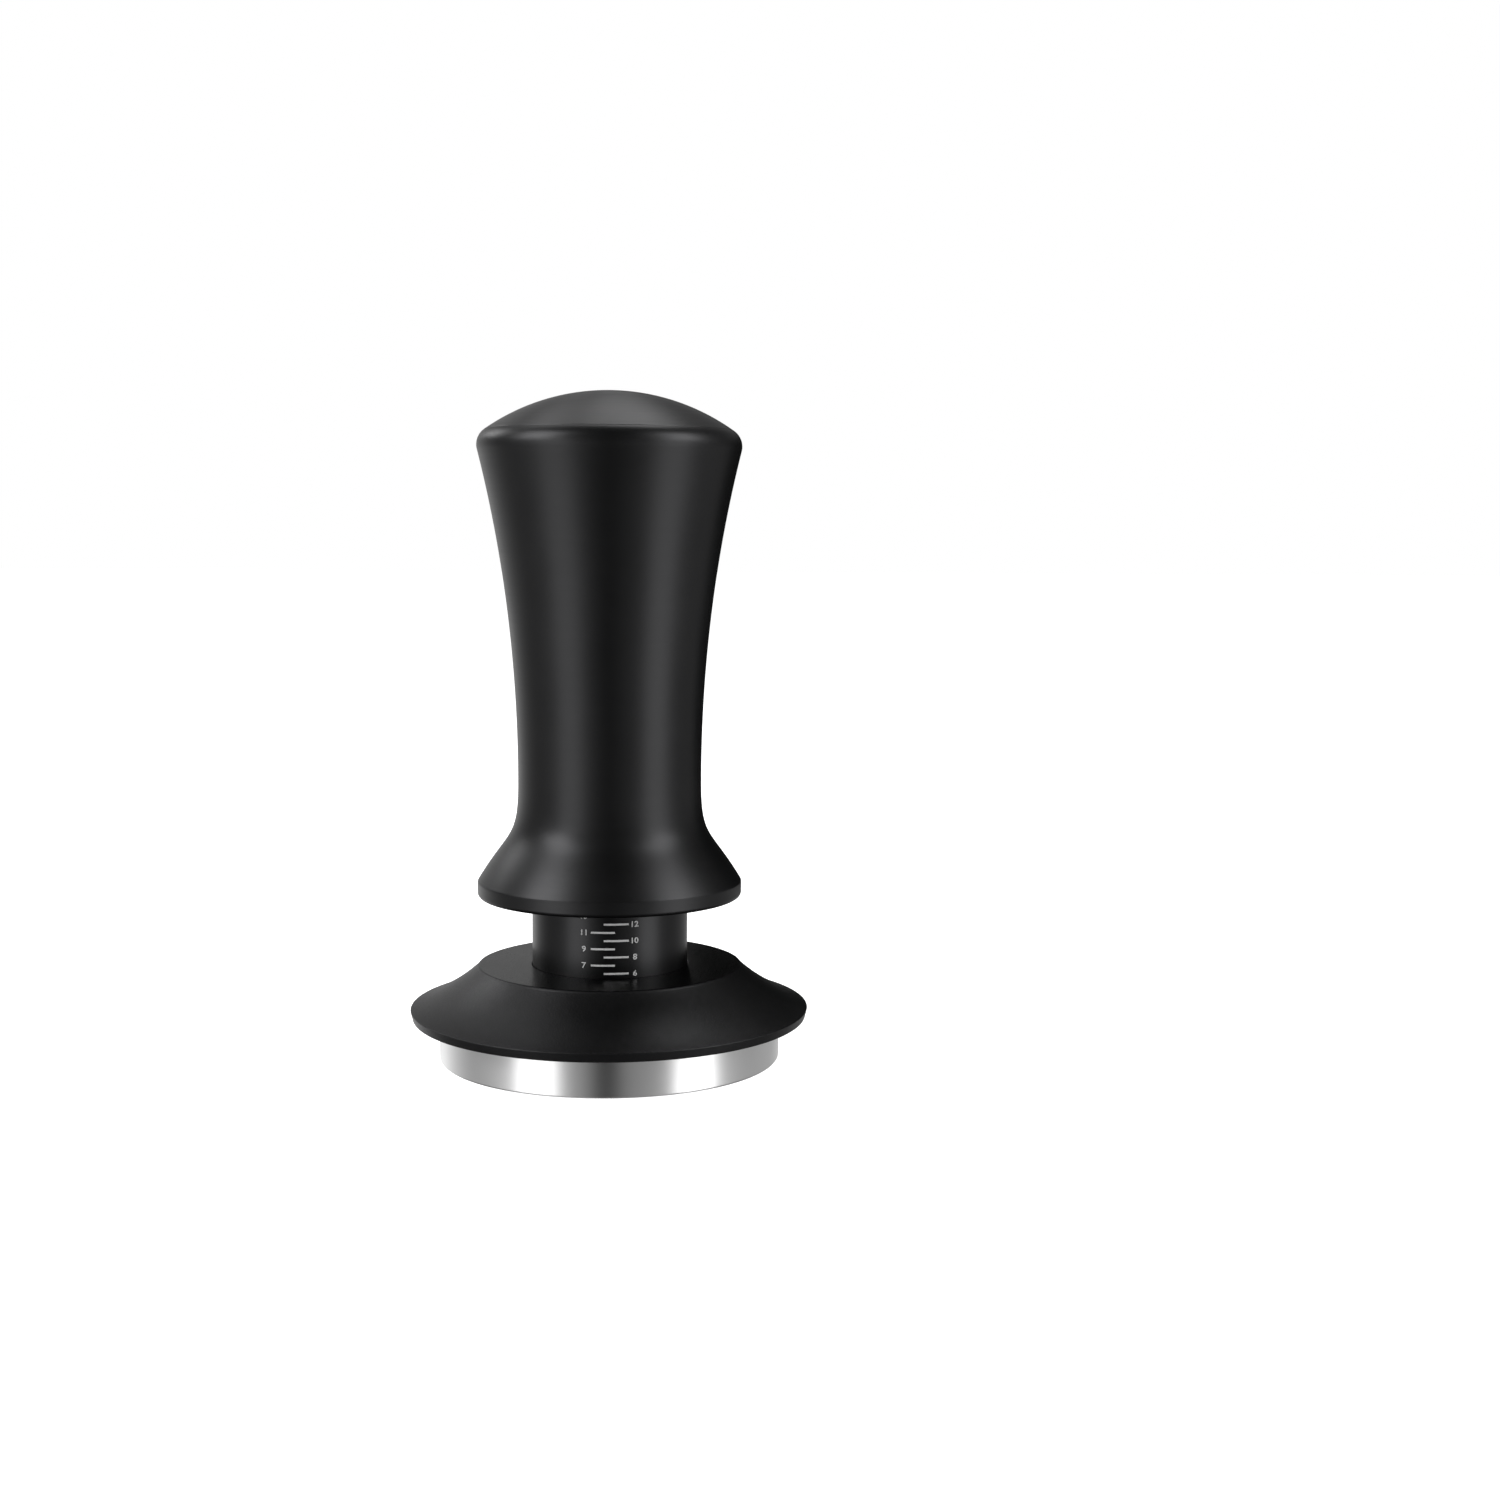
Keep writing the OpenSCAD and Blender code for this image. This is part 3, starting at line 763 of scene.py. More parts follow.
# %% Shaft
SHAFT_R, SHAFT_TAP_R = 5.0, 2.5
shoulder_r, shaft_low, shaft_high = measure("shaft")
plate_low = measure("spring_plate")[1]
SHOULDER_T = 1.5
STUD_DEPTH, TAP_DEPTH = 6.2, 9.2
shaft_outline = [
    (0, shaft_low + STUD_DEPTH, 0), (STUD_R, shaft_low + STUD_DEPTH, 0),
    (STUD_R, shaft_low, 0.3), (SHAFT_R, shaft_low, 0.4),
    (SHAFT_R, plate_low - SHOULDER_T, 0.2), (shoulder_r, plate_low - SHOULDER_T, 0.3),
    (shoulder_r, plate_low, 0.15), (SHAFT_R, plate_low, 0), (SHAFT_R, shaft_high, 0.4),
    (SHAFT_TAP_R, shaft_high, 0.3), (SHAFT_TAP_R, shaft_high - TAP_DEPTH, 0),
    (0, shaft_high - TAP_DEPTH, 0)]
add_piece(lathe(shaft_outline), "ground_shaft", "shaft", shaft_steel)

# %% [markdown]
# ## Plates and washers
#
# The flat rings only differ in size. Their boxes come from the frame, and each has a rounded
# edge, because stamped and turned washers never have a knife edge.

# %% Plates and washers
WASHER_GAP = 0.1
SLIDE_BORE_R = SHAFT_R + WASHER_GAP
flat_rings = (
    ("plate_disc", "spring_plate", SLIDE_BORE_R, 0.3, washer_zinc),
    ("thrust_ring", "main_spring_washer", SLIDE_BORE_R, 0.12, washer_bronze),
    ("buffer_pad", "buffer_washer", SLIDE_BORE_R, 0.25, seal_rubber),
    ("end_washer", "retaining_washer", SHAFT_TAP_R + WASHER_GAP, 0.2, washer_zinc),
    ("lift_ring", "leveller_spring_washer", SLIDE_BORE_R, 0.1, washer_zinc))
for name, node, bore, rounding, material in flat_rings:
    outer, low, high = measure(node)
    add_piece(washer(bore, outer, low, high, rounding), name, node, material)

# %% [markdown]
# ## Retaining screw
#
# A low socket screw and its washer keep the handle on the shaft. The head has a rounded top
# edge and a hexagon socket.

# %% Retaining screw
head_r, screw_low, screw_top = measure("retaining_screw")
SCREW_HEAD_H, SCREW_CORE, SCREW_PITCH = 3.2, 2.1, 0.8
SCREW_KEY_RIM, SCREW_KEY_R, SCREW_KEY_DEPTH = 2.7, 2.3, 2.0
THREAD_RUNOUT = 1.4
under_head = screw_top - SCREW_HEAD_H
screw = spin_open([
    (0, screw_low, 0), (SCREW_CORE, screw_low, 0.3), (SCREW_CORE, under_head, 0),
    (head_r, under_head, 0.15), (head_r, screw_top, 0.5), (SCREW_KEY_RIM, screw_top, 0)])
screw = add_socket(screw, screw_top, SCREW_KEY_R, SCREW_KEY_DEPTH)
add_thread(screw, SCREW_CORE, SHAFT_TAP_R - 0.02, screw_low + 0.3, under_head - THREAD_RUNOUT,
           SCREW_PITCH)
add_piece(close_up(screw), "end_screw", "retaining_screw", screw_black)

# %% [markdown]
# ## Coil springs
#
# A spring could be a curve with a bevel, but a mesh that climbs as it spins shows better how the
# ends are made: one closed turn, then open turns, then one closed turn.

# %% Spring helper
SPRING_STEPS, WIRE_SIDES = 40, 16
CLOSED = 1.06


def coil(node, wire, pitch):
    """A coil spring with closed ends that fills the height of its CAD node."""
    _, low, high = measure(node)
    low_corner, high_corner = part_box(node)
    outer = max(abs(low_corner[0]), abs(high_corner[0])) / MM
    rise = high - low - wire - 2 * wire * CLOSED
    open_turns = max(round(rise / pitch), 1)
    bm = bmesh.new()
    bmesh.ops.create_circle(bm, cap_ends=True, segments=WIRE_SIDES, radius=wire / 2 * MM)
    bmesh.ops.rotate(bm, verts=bm.verts, matrix=STAND_UP)
    bmesh.ops.translate(bm, verts=bm.verts, vec=Vector((outer - wire / 2, 0, low + wire / 2)) * MM)
    section = bm.verts[:] + bm.edges[:] + bm.faces[:]
    for turns, climb in ((1, wire * CLOSED), (open_turns, rise), (1, wire * CLOSED)):
        steps = turns * SPRING_STEPS
        made = bmesh.ops.spin(bm, geom=section, cent=(0, 0, 0), axis=(0, 0, 1),
                              dvec=(0, 0, climb / steps * MM), angle=math.tau * turns,
                              steps=steps)
        section = made["geom_last"]
    return close_up(bm)


def joint_travel(name):
    """Length of a slide's range, in millimetres."""
    joint = next(joint for joint in record["behaviour"]["joints"] if joint["name"] == name)
    return (joint["range_m"][1] - joint["range_m"][0]) / MM


PRESS_TRAVEL, LIFT_TRAVEL = joint_travel("handle_press"), joint_travel("leveller_lift")
print(f"press travel {PRESS_TRAVEL:.1f} mm, lift travel {LIFT_TRAVEL:.1f} mm")

# %% [markdown]
# The strong spring stands on the plate, and its washer presses on its top. The light spring hangs
# below the plate. Each spring gets a mesh of its own.

# %% Both springs
press_spring = add_piece(coil("main_spring", wire=2.2, pitch=5.0), "press_spring",
                         "main_spring", spring_wire)
_, low, high = measure("main_spring")
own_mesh(press_spring)

lift_spring = add_piece(coil("leveller_spring", wire=1.0, pitch=2.7), "lift_spring",
                        "leveller_spring", spring_wire)
_, low, high = measure("leveller_spring")
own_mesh(lift_spring)

# %% [markdown]
# ## Bushes
#
# Metal never slides on metal here. One bush carries the leveller on the shaft, one guides the
# neck in the handle's mouth, and one guides the shaft through the handle's inner wall.

# %% Bushes
RUN_GAP = 0.05
RUNNING_R = SHAFT_R + RUN_GAP
BUSH_WALL, BUSH_RIM_T = 1.95, 1.0
bush_r = RUNNING_R + BUSH_WALL
bush_rim_r, bush_low, bush_high = measure("leveller_bush")
add_piece(lathe([
    (RUNNING_R, bush_low, 0.3), (bush_r, bush_low, 0.2), (bush_r, bush_high - BUSH_RIM_T, 0),
    (bush_rim_r, bush_high - BUSH_RIM_T, 0.2), (bush_rim_r, bush_high, 0.25),
    (RUNNING_R, bush_high, 0.3)], closed=True), "lift_bush", "leveller_bush", bush_white)

NECK_R, NECK_WALL = 12.15, 1.5
guide_r, guide_low, guide_high = measure("handle_guide_bush")
add_piece(washer(NECK_R + RUN_GAP, guide_r, guide_low, guide_high, 0.25, FINE), "guide_sleeve",
          "handle_guide_bush", guide_black)
inner_r, inner_low, inner_high = measure("shaft_bush")
add_piece(washer(RUNNING_R, inner_r, inner_low, inner_high, 0.2), "inner_sleeve", "shaft_bush",
          bush_white)

# %% [markdown]
# ## Levelling flange
#
# The flange rests on the rim of the basket. From a thin rim band it sweeps up in a hollow curve
# to a flat collar. The band leans in a little at its lower edge, so that it never scrapes the
# basket's rim. Underneath, one recess takes the base's boss and a second one takes the foot of
# the neck.

# %% Levelling flange
COLLAR_R, COLLAR_EDGE_H = 20.7, 0.3
RIM_BAND_H, UNDERCUT, SWEEP_R = 1.4, 0.35, 30.0
FREE_GAP = 0.35
FOOT_T = 1.5


def hollow_sweep(start, end, radius, count):
    """Points of an arc that bends inwards between two points, without the first point."""
    start, end = Vector(start), Vector(end)
    half = (end - start).length / 2
    along = (end - start).normalized()
    centre = (start + end) / 2 + math.sqrt(radius ** 2 - half ** 2) * Vector((along.y, -along.x))
    first, last = (math.degrees(math.atan2(*reversed(point - centre))) % 360
                   for point in (start, end))
    return arc(centre, radius, first, last, count)[1:]


recess_r = boss_r + FREE_GAP
rim_edge = (flange_r, flange_z + RIM_BAND_H)
flange_outline = [
    (NECK_R + RUN_GAP, collar_z, 0.15), (NECK_R + RUN_GAP, foot_z + FOOT_T, 0),
    (foot_r + RUN_GAP, foot_z + FOOT_T, 0), (foot_r + RUN_GAP, foot_z, 0.15),
    (recess_r, foot_z, 0.2), (recess_r, flange_z, 0.2),
    (flange_r - UNDERCUT, flange_z, 0.12),
    (*rim_edge, 0.1), *hollow_sweep(rim_edge, (COLLAR_R, collar_z - COLLAR_EDGE_H), SWEEP_R, 28),
    (COLLAR_R - 0.12, collar_z - 0.3 * COLLAR_EDGE_H, 0), (COLLAR_R - 0.35, collar_z, 0)]
add_piece(lathe(flange_outline, closed=True, steps=FINE), "levelling_ring", "leveller_flange",
          flange_black)

# %% [markdown]
# ## Scale neck
#
# Three countersunk screws hold the neck's foot to the flange. They are alike, so one screw is
# made on the axis, as a turned piece, and then copied to its three places.

# %% Neck screws
SCREW_COUNT, SCREW_CIRCLE = 3, 14.55
NECK_SCREW_HEAD_R, NECK_SCREW_HEAD_H, NECK_SCREW_SHANK_R = 1.9, 1.1, 1.0
NECK_SCREW_CORE, NECK_SCREW_CREST, NECK_SCREW_PITCH = 0.82, 0.98, 0.4
NECK_SCREW_KEY_R, NECK_SCREW_KEY_RIM = 0.7, 0.9
_, screw_low, screw_high = measure("neck_screws")


def at_screws(bm):
    """Copy a shape from the axis to each neck screw."""
    shape = bm.verts[:] + bm.edges[:] + bm.faces[:]
    for i in range(SCREW_COUNT):
        copy = bmesh.ops.duplicate(bm, geom=shape)["geom"]
        points = [item for item in copy if isinstance(item, bmesh.types.BMVert)]
        turn = Matrix.Rotation(math.tau * (i + 0.25) / SCREW_COUNT, 3, "Z")
        bmesh.ops.translate(bm, verts=points, vec=turn @ Vector((SCREW_CIRCLE * MM, 0, 0)))
    bmesh.ops.delete(bm, geom=[item for item in shape if isinstance(item, bmesh.types.BMVert)],
                     context="VERTS")
    return bm


def screw_outline(low, high, gap):
    """Countersunk head and plain core, from the flush face upwards."""
    neck = low + NECK_SCREW_HEAD_H
    return [(NECK_SCREW_HEAD_R + gap, low, 0), (NECK_SCREW_SHANK_R + gap, neck, 0),
            (NECK_SCREW_CORE + gap, neck + 0.1, 0), (NECK_SCREW_CORE + gap, high - 0.2, 0),
            (0.6 + gap, high, 0), (0, high, 0)]


neck_screw = spin_open([(NECK_SCREW_KEY_RIM, screw_low, 0),
                        *screw_outline(screw_low, screw_high, 0)], 32)
neck_screw = add_socket(neck_screw, screw_low, NECK_SCREW_KEY_R, -0.7)
add_thread(neck_screw, NECK_SCREW_CORE, NECK_SCREW_CREST, screw_low + NECK_SCREW_HEAD_H + 0.1,
           screw_high - 0.2, NECK_SCREW_PITCH)
add_piece(at_screws(close_up(neck_screw)), "foot_screws", "neck_screws", screw_steel)

# %% [markdown]
# The neck is a tube with a floor for the bush and a wide foot for the screws.

# %% Neck tube
neck_in_r = NECK_R - NECK_WALL
FLOOR_T = 3.0
neck_bm = lathe([
    (bush_r, foot_z, 0.15), (foot_r, foot_z, 0.2), (foot_r, foot_z + FOOT_T, 0.2),
    (NECK_R, foot_z + FOOT_T, 0), (NECK_R, neck_top, 0.35), (neck_in_r, neck_top, 0.25),
    (neck_in_r, foot_z + FLOOR_T, 0), (bush_r, foot_z + FLOOR_T, 0.1)], closed=True, steps=FINE)
neck_tube = add_piece(neck_bm, "neck_tube", "scale_neck", neck_black)

# %% [markdown]
# The foot's three countersunk holes don't run round the tube's axis, so the lathe can't make
# them. A Boolean modifier cuts them with a drill of the screw's own shape, a hair wider and
# longer, and its result is applied to the mesh.

# %% Countersunk holes
DRILL_GAP, DRILL_PAST = 0.02, 0.5
drill_bm = lathe([(0, foot_z - DRILL_PAST, 0),
                  *screw_outline(foot_z - 0.01, foot_z + FOOT_T + DRILL_PAST, DRILL_GAP)],
                 steps=32)
drill_mesh = bpy.data.meshes.new("countersink")
at_screws(drill_bm).to_mesh(drill_mesh)
drill = bpy.data.objects.new("countersink", drill_mesh)
bpy.context.collection.objects.link(drill)
cut = neck_tube.modifiers.new("Countersinks", "BOOLEAN")
cut.object = drill
cut.solver = "EXACT"
drilled = bpy.data.meshes.new_from_object(
    neck_tube.evaluated_get(bpy.context.evaluated_depsgraph_get()))
neck_tube.modifiers.clear()
neck_tube.data = drilled
bpy.data.objects.remove(drill)
print("neck after drilling:", len(drilled.polygons), "faces")

# %% [markdown]
# ## Depth scale
#
# The marks are drawn flat, in X and Z, and then laid on the tube: every point keeps its width
# and height and moves back to the tube's surface. An image or a colour pattern would blur up
# close, while thin meshes stay sharp. They stand two hundredths of a millimetre proud.

# %% Laying marks on the neck
MARK_PROUD = 0.02


def lay_on_neck(bm):
    """Move flat marks, drawn in X and Z, onto the front of the tube and give them thickness."""
    for point in bm.verts:
        point.co.y = -math.sqrt((NECK_R * MM) ** 2 - point.co.x ** 2)
    bmesh.ops.recalc_face_normals(bm, faces=bm.faces)
    if sum(face.normal.y for face in bm.faces) > 0:
        bmesh.ops.reverse_faces(bm, faces=bm.faces)
    made = bmesh.ops.extrude_face_region(bm, geom=bm.faces[:])
    for item in made["geom"]:
        if isinstance(item, bmesh.types.BMVert):
            outward = Vector((item.co.x, item.co.y, 0)).normalized()
            item.co += outward * MARK_PROUD * MM
    return bm


print(f"marks stand {MARK_PROUD} mm proud of the neck")

# %% [markdown]
# Short lines alternate left and right of the middle, one for each number: odd numbers on the
# left and even ones on the right. A grid with a dozen cells bends smoothly round the tube.

# %% Scale lines
SCALE_NUMBERS = range(6, 14)
SCALE_START_Z, SCALE_PITCH = collar_z + 0.79, 1.265
ODD_LINE, EVEN_LINE, LINE_T = (-2.9, 0.75), (-0.95, 2.85), 0.3


def mark_height(number):
    """Height of a number's mark, in millimetres."""
    return SCALE_START_Z + (number - SCALE_NUMBERS[0]) * SCALE_PITCH


def scale_lines():
    """All the short lines, as one flat mesh."""
    bm = bmesh.new()
    for number in SCALE_NUMBERS:
        left, right = ODD_LINE if number % 2 else EVEN_LINE
        made = bmesh.ops.create_grid(bm, x_segments=12, y_segments=1, size=0.5)["verts"]
        bmesh.ops.scale(bm, verts=made, vec=((right - left) * MM, LINE_T * MM, 1))
        bmesh.ops.rotate(bm, verts=made, matrix=STAND_UP)
        bmesh.ops.translate(bm, verts=made,
                            vec=Vector(((left + right) / 2, 0, mark_height(number))) * MM)
    return bm


add_extra(lay_on_neck(scale_lines()), "scale_line_marks", "scale_neck", scale_white)

# %% [markdown]
# The digits start as text in Blender's own typeface. Text is a curve, so it is turned into a
# mesh before it is centred, brought to its height and stood upright.

# %% Scale numbers
DIGIT_H, DIGIT_W, DIGIT_BOLD = 0.9, 1.05, 0.02
ODD_X, EVEN_X = -3.95, 3.8


def number_mesh(number):
    """The mesh of one number, standing upright, centred on its middle."""
    text = bpy.data.curves.new(f"number_{number}", "FONT")
    text.body = str(number)
    text.resolution_u = 3
    text.offset = DIGIT_BOLD
    holder = bpy.data.objects.new(text.name, text)
    bpy.context.collection.objects.link(holder)
    bpy.context.view_layer.update()
    mesh = bpy.data.meshes.new_from_object(
        holder.evaluated_get(bpy.context.evaluated_depsgraph_get()))
    bpy.data.objects.remove(holder)
    bm = bmesh.new()
    bm.from_mesh(mesh)
    bmesh.ops.remove_doubles(bm, verts=bm.verts, dist=1e-5)
    widths = [point.co.x for point in bm.verts]
    heights = [point.co.y for point in bm.verts]
    middle = Vector((min(widths) + max(widths), min(heights) + max(heights), 0)) / 2
    bmesh.ops.translate(bm, verts=bm.verts, vec=-middle)
    size = DIGIT_H * MM / (max(heights) - min(heights))
    bmesh.ops.scale(bm, verts=bm.verts, vec=(size * DIGIT_W, size, 1))
    bmesh.ops.rotate(bm, verts=bm.verts, matrix=STAND_UP)
    return bm


digits = bmesh.new()
for number in SCALE_NUMBERS:
    one = number_mesh(number)
    side = ODD_X if number % 2 else EVEN_X
    bmesh.ops.translate(one, verts=one.verts, vec=Vector((side, 0, mark_height(number))) * MM)
    holder = bpy.data.meshes.new("number")
    lay_on_neck(one).to_mesh(holder)
    one.free()
    digits.from_mesh(holder)
    bpy.data.meshes.remove(holder)
add_extra(digits, "scale_number_marks", "scale_neck", scale_white)

# %% [markdown]
# ## Handle
#
# The handle's side is two curves that meet at the waist: a short one that flares out to the
# lower rim, and a long one that opens gently up to the palm. A rounded edge leads over into the
# cap's dome.

# %% Handle measures
WAIST_R, WAIST_H = 14.25, 18.1
RIM_BAND = 2.4
TOP_R, EDGE_ROUND, DOME_R = 20.34, 2.86, 33.2
TOP_LEAN = math.radians(13.9)
THREAD_R, THREAD_DEPTH = 15.0, 6.7
CAP_EDGE_H = 1.4

dome_z = dome_top - DOME_R
edge_r = TOP_R - EDGE_ROUND
edge_z = dome_z + math.sqrt((DOME_R - EDGE_ROUND) ** 2 - edge_r ** 2)
dome_angle = math.degrees(math.atan2(edge_z - dome_z, edge_r))
cap_edge_z = dome_z + math.sqrt(DOME_R ** 2 - cap_r ** 2)
ledge_z = cap_edge_z - CAP_EDGE_H
cap_mouth_r = cap_r + RUN_GAP
print(f"dome centre at {dome_z:.1f} mm, cap edge at {cap_edge_z:.2f} mm")

# %% [markdown]
# Each curve of the side leaves its ends along a given direction. The flare leaves the rim band
# at a slant and arrives upright at the waist. The long curve leaves the waist upright and
# arrives at the top with the lean that the rounded edge starts with.

# %% Handle side
FLARE_SLANT, FLARE_LEAVE, FLARE_ARRIVE = 0.306, 0.51, 0.6
SIDE_LEAVE, SIDE_ARRIVE = 0.36, 0.31
foot = (rim_r, rim_z + RIM_BAND)
waist = (WAIST_R, rim_z + WAIST_H)
shoulder = (edge_r + EDGE_ROUND * math.cos(TOP_LEAN), edge_z - EDGE_ROUND * math.sin(TOP_LEAN))
low_h = waist[1] - foot[1]
high_h = shoulder[1] - waist[1]
lower_flare = curve(foot, (foot[0] - FLARE_SLANT * low_h, foot[1] + FLARE_LEAVE * low_h),
                    (waist[0], waist[1] - FLARE_ARRIVE * low_h), waist, 28)
upper_flare = curve(waist, (waist[0], waist[1] + SIDE_LEAVE * high_h),
                    (shoulder[0] - SIDE_ARRIVE * high_h * math.tan(TOP_LEAN),
                     shoulder[1] - SIDE_ARRIVE * high_h), shoulder, 44)
top_edge = arc((edge_r, edge_z), EDGE_ROUND, -math.degrees(TOP_LEAN), dome_angle, 14)[1:]
print(f"side of the handle: {low_h:.1f} mm below the waist, {high_h:.1f} mm above it")

# %% [markdown]
# The inside has a bore for the neck, the spring chamber and a wall for the bush. The groove
# near the top holds the cap's rubber ring. Outside and inside make one closed outline.

# %% Handle
NECK_HEADROOM, CHAMBER_STEP, HOLLOW_STEP = 0.8, 0.65, 3
neck_bore_r = NECK_R + FREE_GAP
chamber_r = neck_in_r - CHAMBER_STEP
hollow_r = THREAD_R - HOLLOW_STEP
neck_roof = neck_top + LIFT_TRAVEL + PRESS_TRAVEL + NECK_HEADROOM
seal_out, seal_low, seal_high = measure("cap_oring")
SEAL_CORD = seal_high - seal_low
seal_in = seal_out - SEAL_CORD
handle_outline = [
    (guide_r, rim_z, 0.35), (rim_r, rim_z, 0.6), (*foot, 0.12), *lower_flare, *upper_flare,
    *top_edge, (cap_mouth_r, cap_edge_z - 0.02, 0.04), (cap_mouth_r, ledge_z, 0),
    (seal_out + 0.1, ledge_z, 0.1), (seal_out + 0.1, seal_low, 0.15),
    (seal_in - 0.1, seal_low, 0.15), (seal_in - 0.1, ledge_z, 0.1),
    (THREAD_R, ledge_z, 0.3), (THREAD_R, ledge_z - THREAD_DEPTH, 0),
    (hollow_r, ledge_z - THREAD_DEPTH, 0.2), (hollow_r, inner_high, 0.3),
    (inner_r, inner_high, 0.15), (inner_r, inner_low, 0.15), (chamber_r, inner_low, 0.3),
    (chamber_r, neck_roof, 0.2), (neck_bore_r, neck_roof, 0.2), (neck_bore_r, guide_high, 0),
    (guide_r, guide_high, 0)]
add_piece(lathe(handle_outline, closed=True, steps=FINE), "palm_handle", "handle_body",
          handle_black)

# %% [markdown]
# ## Cap
#
# The cap carries the dome and closes the handle. It screws in with a short threaded spigot and
# is hollow, so that the shaft's screw has room when the handle is pressed. The hairline round
# its edge is the gap between cap and handle.

# %% Cap
SPIGOT_R = THREAD_R - RUN_GAP
CAP_THREAD_DEPTH, CAP_THREAD_PITCH, CAP_ROOM = 0.6, 1.5, 3.3
SPIGOT_CORE = SPIGOT_R - CAP_THREAD_DEPTH
cap_ceiling = ledge_z + CAP_ROOM
edge_angle = math.degrees(math.acos(cap_r / DOME_R))
dome = arc((0, dome_z), DOME_R, edge_angle, 90, 40)
cap_outline = [
    (0, cap_ceiling, 0), (hollow_r, cap_ceiling, 1.5), (hollow_r, spigot_z, 0.3),
    (SPIGOT_CORE, spigot_z, 0.4), (SPIGOT_CORE, ledge_z, 0), (cap_r, ledge_z, 0.2),
    (cap_r, dome[0][1], 0.07), *[(r, z, 0) for r, z, _ in dome[1:-1]], (0, dome_top, 0)]
cap_bm = lathe(cap_outline, steps=FINE)
add_thread(cap_bm, SPIGOT_CORE, SPIGOT_R - 0.02, spigot_z + 0.3, ledge_z - 0.2,
           CAP_THREAD_PITCH)
add_piece(close_up(cap_bm), "palm_cap", "handle_cap", cap_black_painted_sheen)

# %% [markdown]
# ## Floor, light and camera
#
# The tamper stands on a white sweep. The floor is left out of the gloss, so that the steel shows
# the studio around it. Two tall soft boxes stand at the sides, and the room between them stays
# dark, which draws the long highlights on the handle. The backdrop is brighter on the left.

# %% Floor
bpy.ops.mesh.primitive_plane_add(size=6, location=(0, 0, face_z * MM))
floor = bpy.context.object
floor.name = "studio_floor"
floor.visible_glossy = False
floor.visible_shadow = False
floor.visible_diffuse = False


def floor_material():
    """Matte white that lifts itself a little, and can't be seen from below."""
    material = bpy.data.materials.new("studio_white")
    material.use_nodes = True
    tree = material.node_tree
    shader = tree.nodes["Principled BSDF"]
    shader.inputs["Roughness"].default_value = 0.9
    shader.inputs["Specular IOR Level"].default_value = 0.1
    shader.inputs["Emission Color"].default_value = (1, 1, 1, 1)
    shader.inputs["Emission Strength"].default_value = 1.0
    grain = use_group(tree, fine_grain, Per_mm=0.4, Low=0.3, High=0.7)
    tree.links.new(blend_colour(tree, (0.9, 0.9, 0.9), (0.88, 0.88, 0.88),
                                grain.outputs["Value"]), shader.inputs["Base Color"])
    shape = put(tree, "ShaderNodeNewGeometry")
    clear = put(tree, "ShaderNodeBsdfTransparent")
    choose = put(tree, "ShaderNodeMixShader")
    tree.links.new(shape.outputs["Backfacing"], choose.inputs["Fac"])
    tree.links.new(shader.outputs[0], choose.inputs[1])
    tree.links.new(clear.outputs[0], choose.inputs[2])
    tree.links.new(choose.outputs[0], tree.nodes["Material Output"].inputs["Surface"])
    return material


floor.data.materials.append(floor_material())
floor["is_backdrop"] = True
print("floor:", floor.name)

# %% [markdown]
# The world stands in for the walls and the table of the studio. One ramp sets its brightness by
# compass direction: dark behind the camera, grey at the sides, white at the back. A second ramp
# sets it by height, from straight down to straight up: the table is bright, the walls fade
# upwards, and the ring of table around the tamper is in its own shadow.

# %% Brightness ramps
COMPASS = ((-180, 0.9), (-150, 1.15), (-125, 0.65), (-105, 0.38), (-75, 0.55), (-45, 0.5),
           (-20, 0.4), (-13, 0.3), (-9, 0.01), (4, 0.01), (8, 0.34), (24, 0.4), (45, 0.45),
           (75, 0.55), (110, 0.42), (145, 0.45), (180, 0.9))
HEIGHTS = ((-1.0, 1.2), (-0.85, 1.0), (-0.76, 0.12), (-0.58, 0.08), (-0.42, 0.75), (-0.25, 1.25),
           (-0.17, 0.85), (-0.05, 0.7), (0.2, 0.45), (0.5, 0.28), (0.8, 0.2), (1.0, 0.08))
WORLD_GAIN = 1.25


def grey_ramp(tree, source, stops, low, high):
    """A colour ramp of greys over a range, given as position and brightness."""
    ramp = put(tree, "ShaderNodeValToRGB")
    elements = ramp.color_ramp.elements
    while len(elements) > 1:
        elements.remove(elements[-1])
    for i, (place, grey) in enumerate(stops):
        position = (place - low) / (high - low)
        stop = elements[0] if i == 0 else elements.new(position)
        stop.position = position
        stop.color = (grey / WORLD_GAIN, grey / WORLD_GAIN, grey / WORLD_GAIN, 1)
    turn = put(tree, "ShaderNodeMapRange", {"From Min": low, "From Max": high})
    tree.links.new(source, turn.inputs["Value"])
    tree.links.new(turn.outputs["Result"], ramp.inputs["Fac"])
    return ramp.outputs["Color"]


print(f"ramps: {len(COMPASS)} stops round the compass, {len(HEIGHTS)} by height")

# %% [markdown]
# The two ramps are multiplied. A ramp's colours can't be brighter than white, so each is stored
# divided by a gain, and the gain comes back in the strength. The camera itself always sees
# plain white: Light Path tells its rays from the reflected ones.

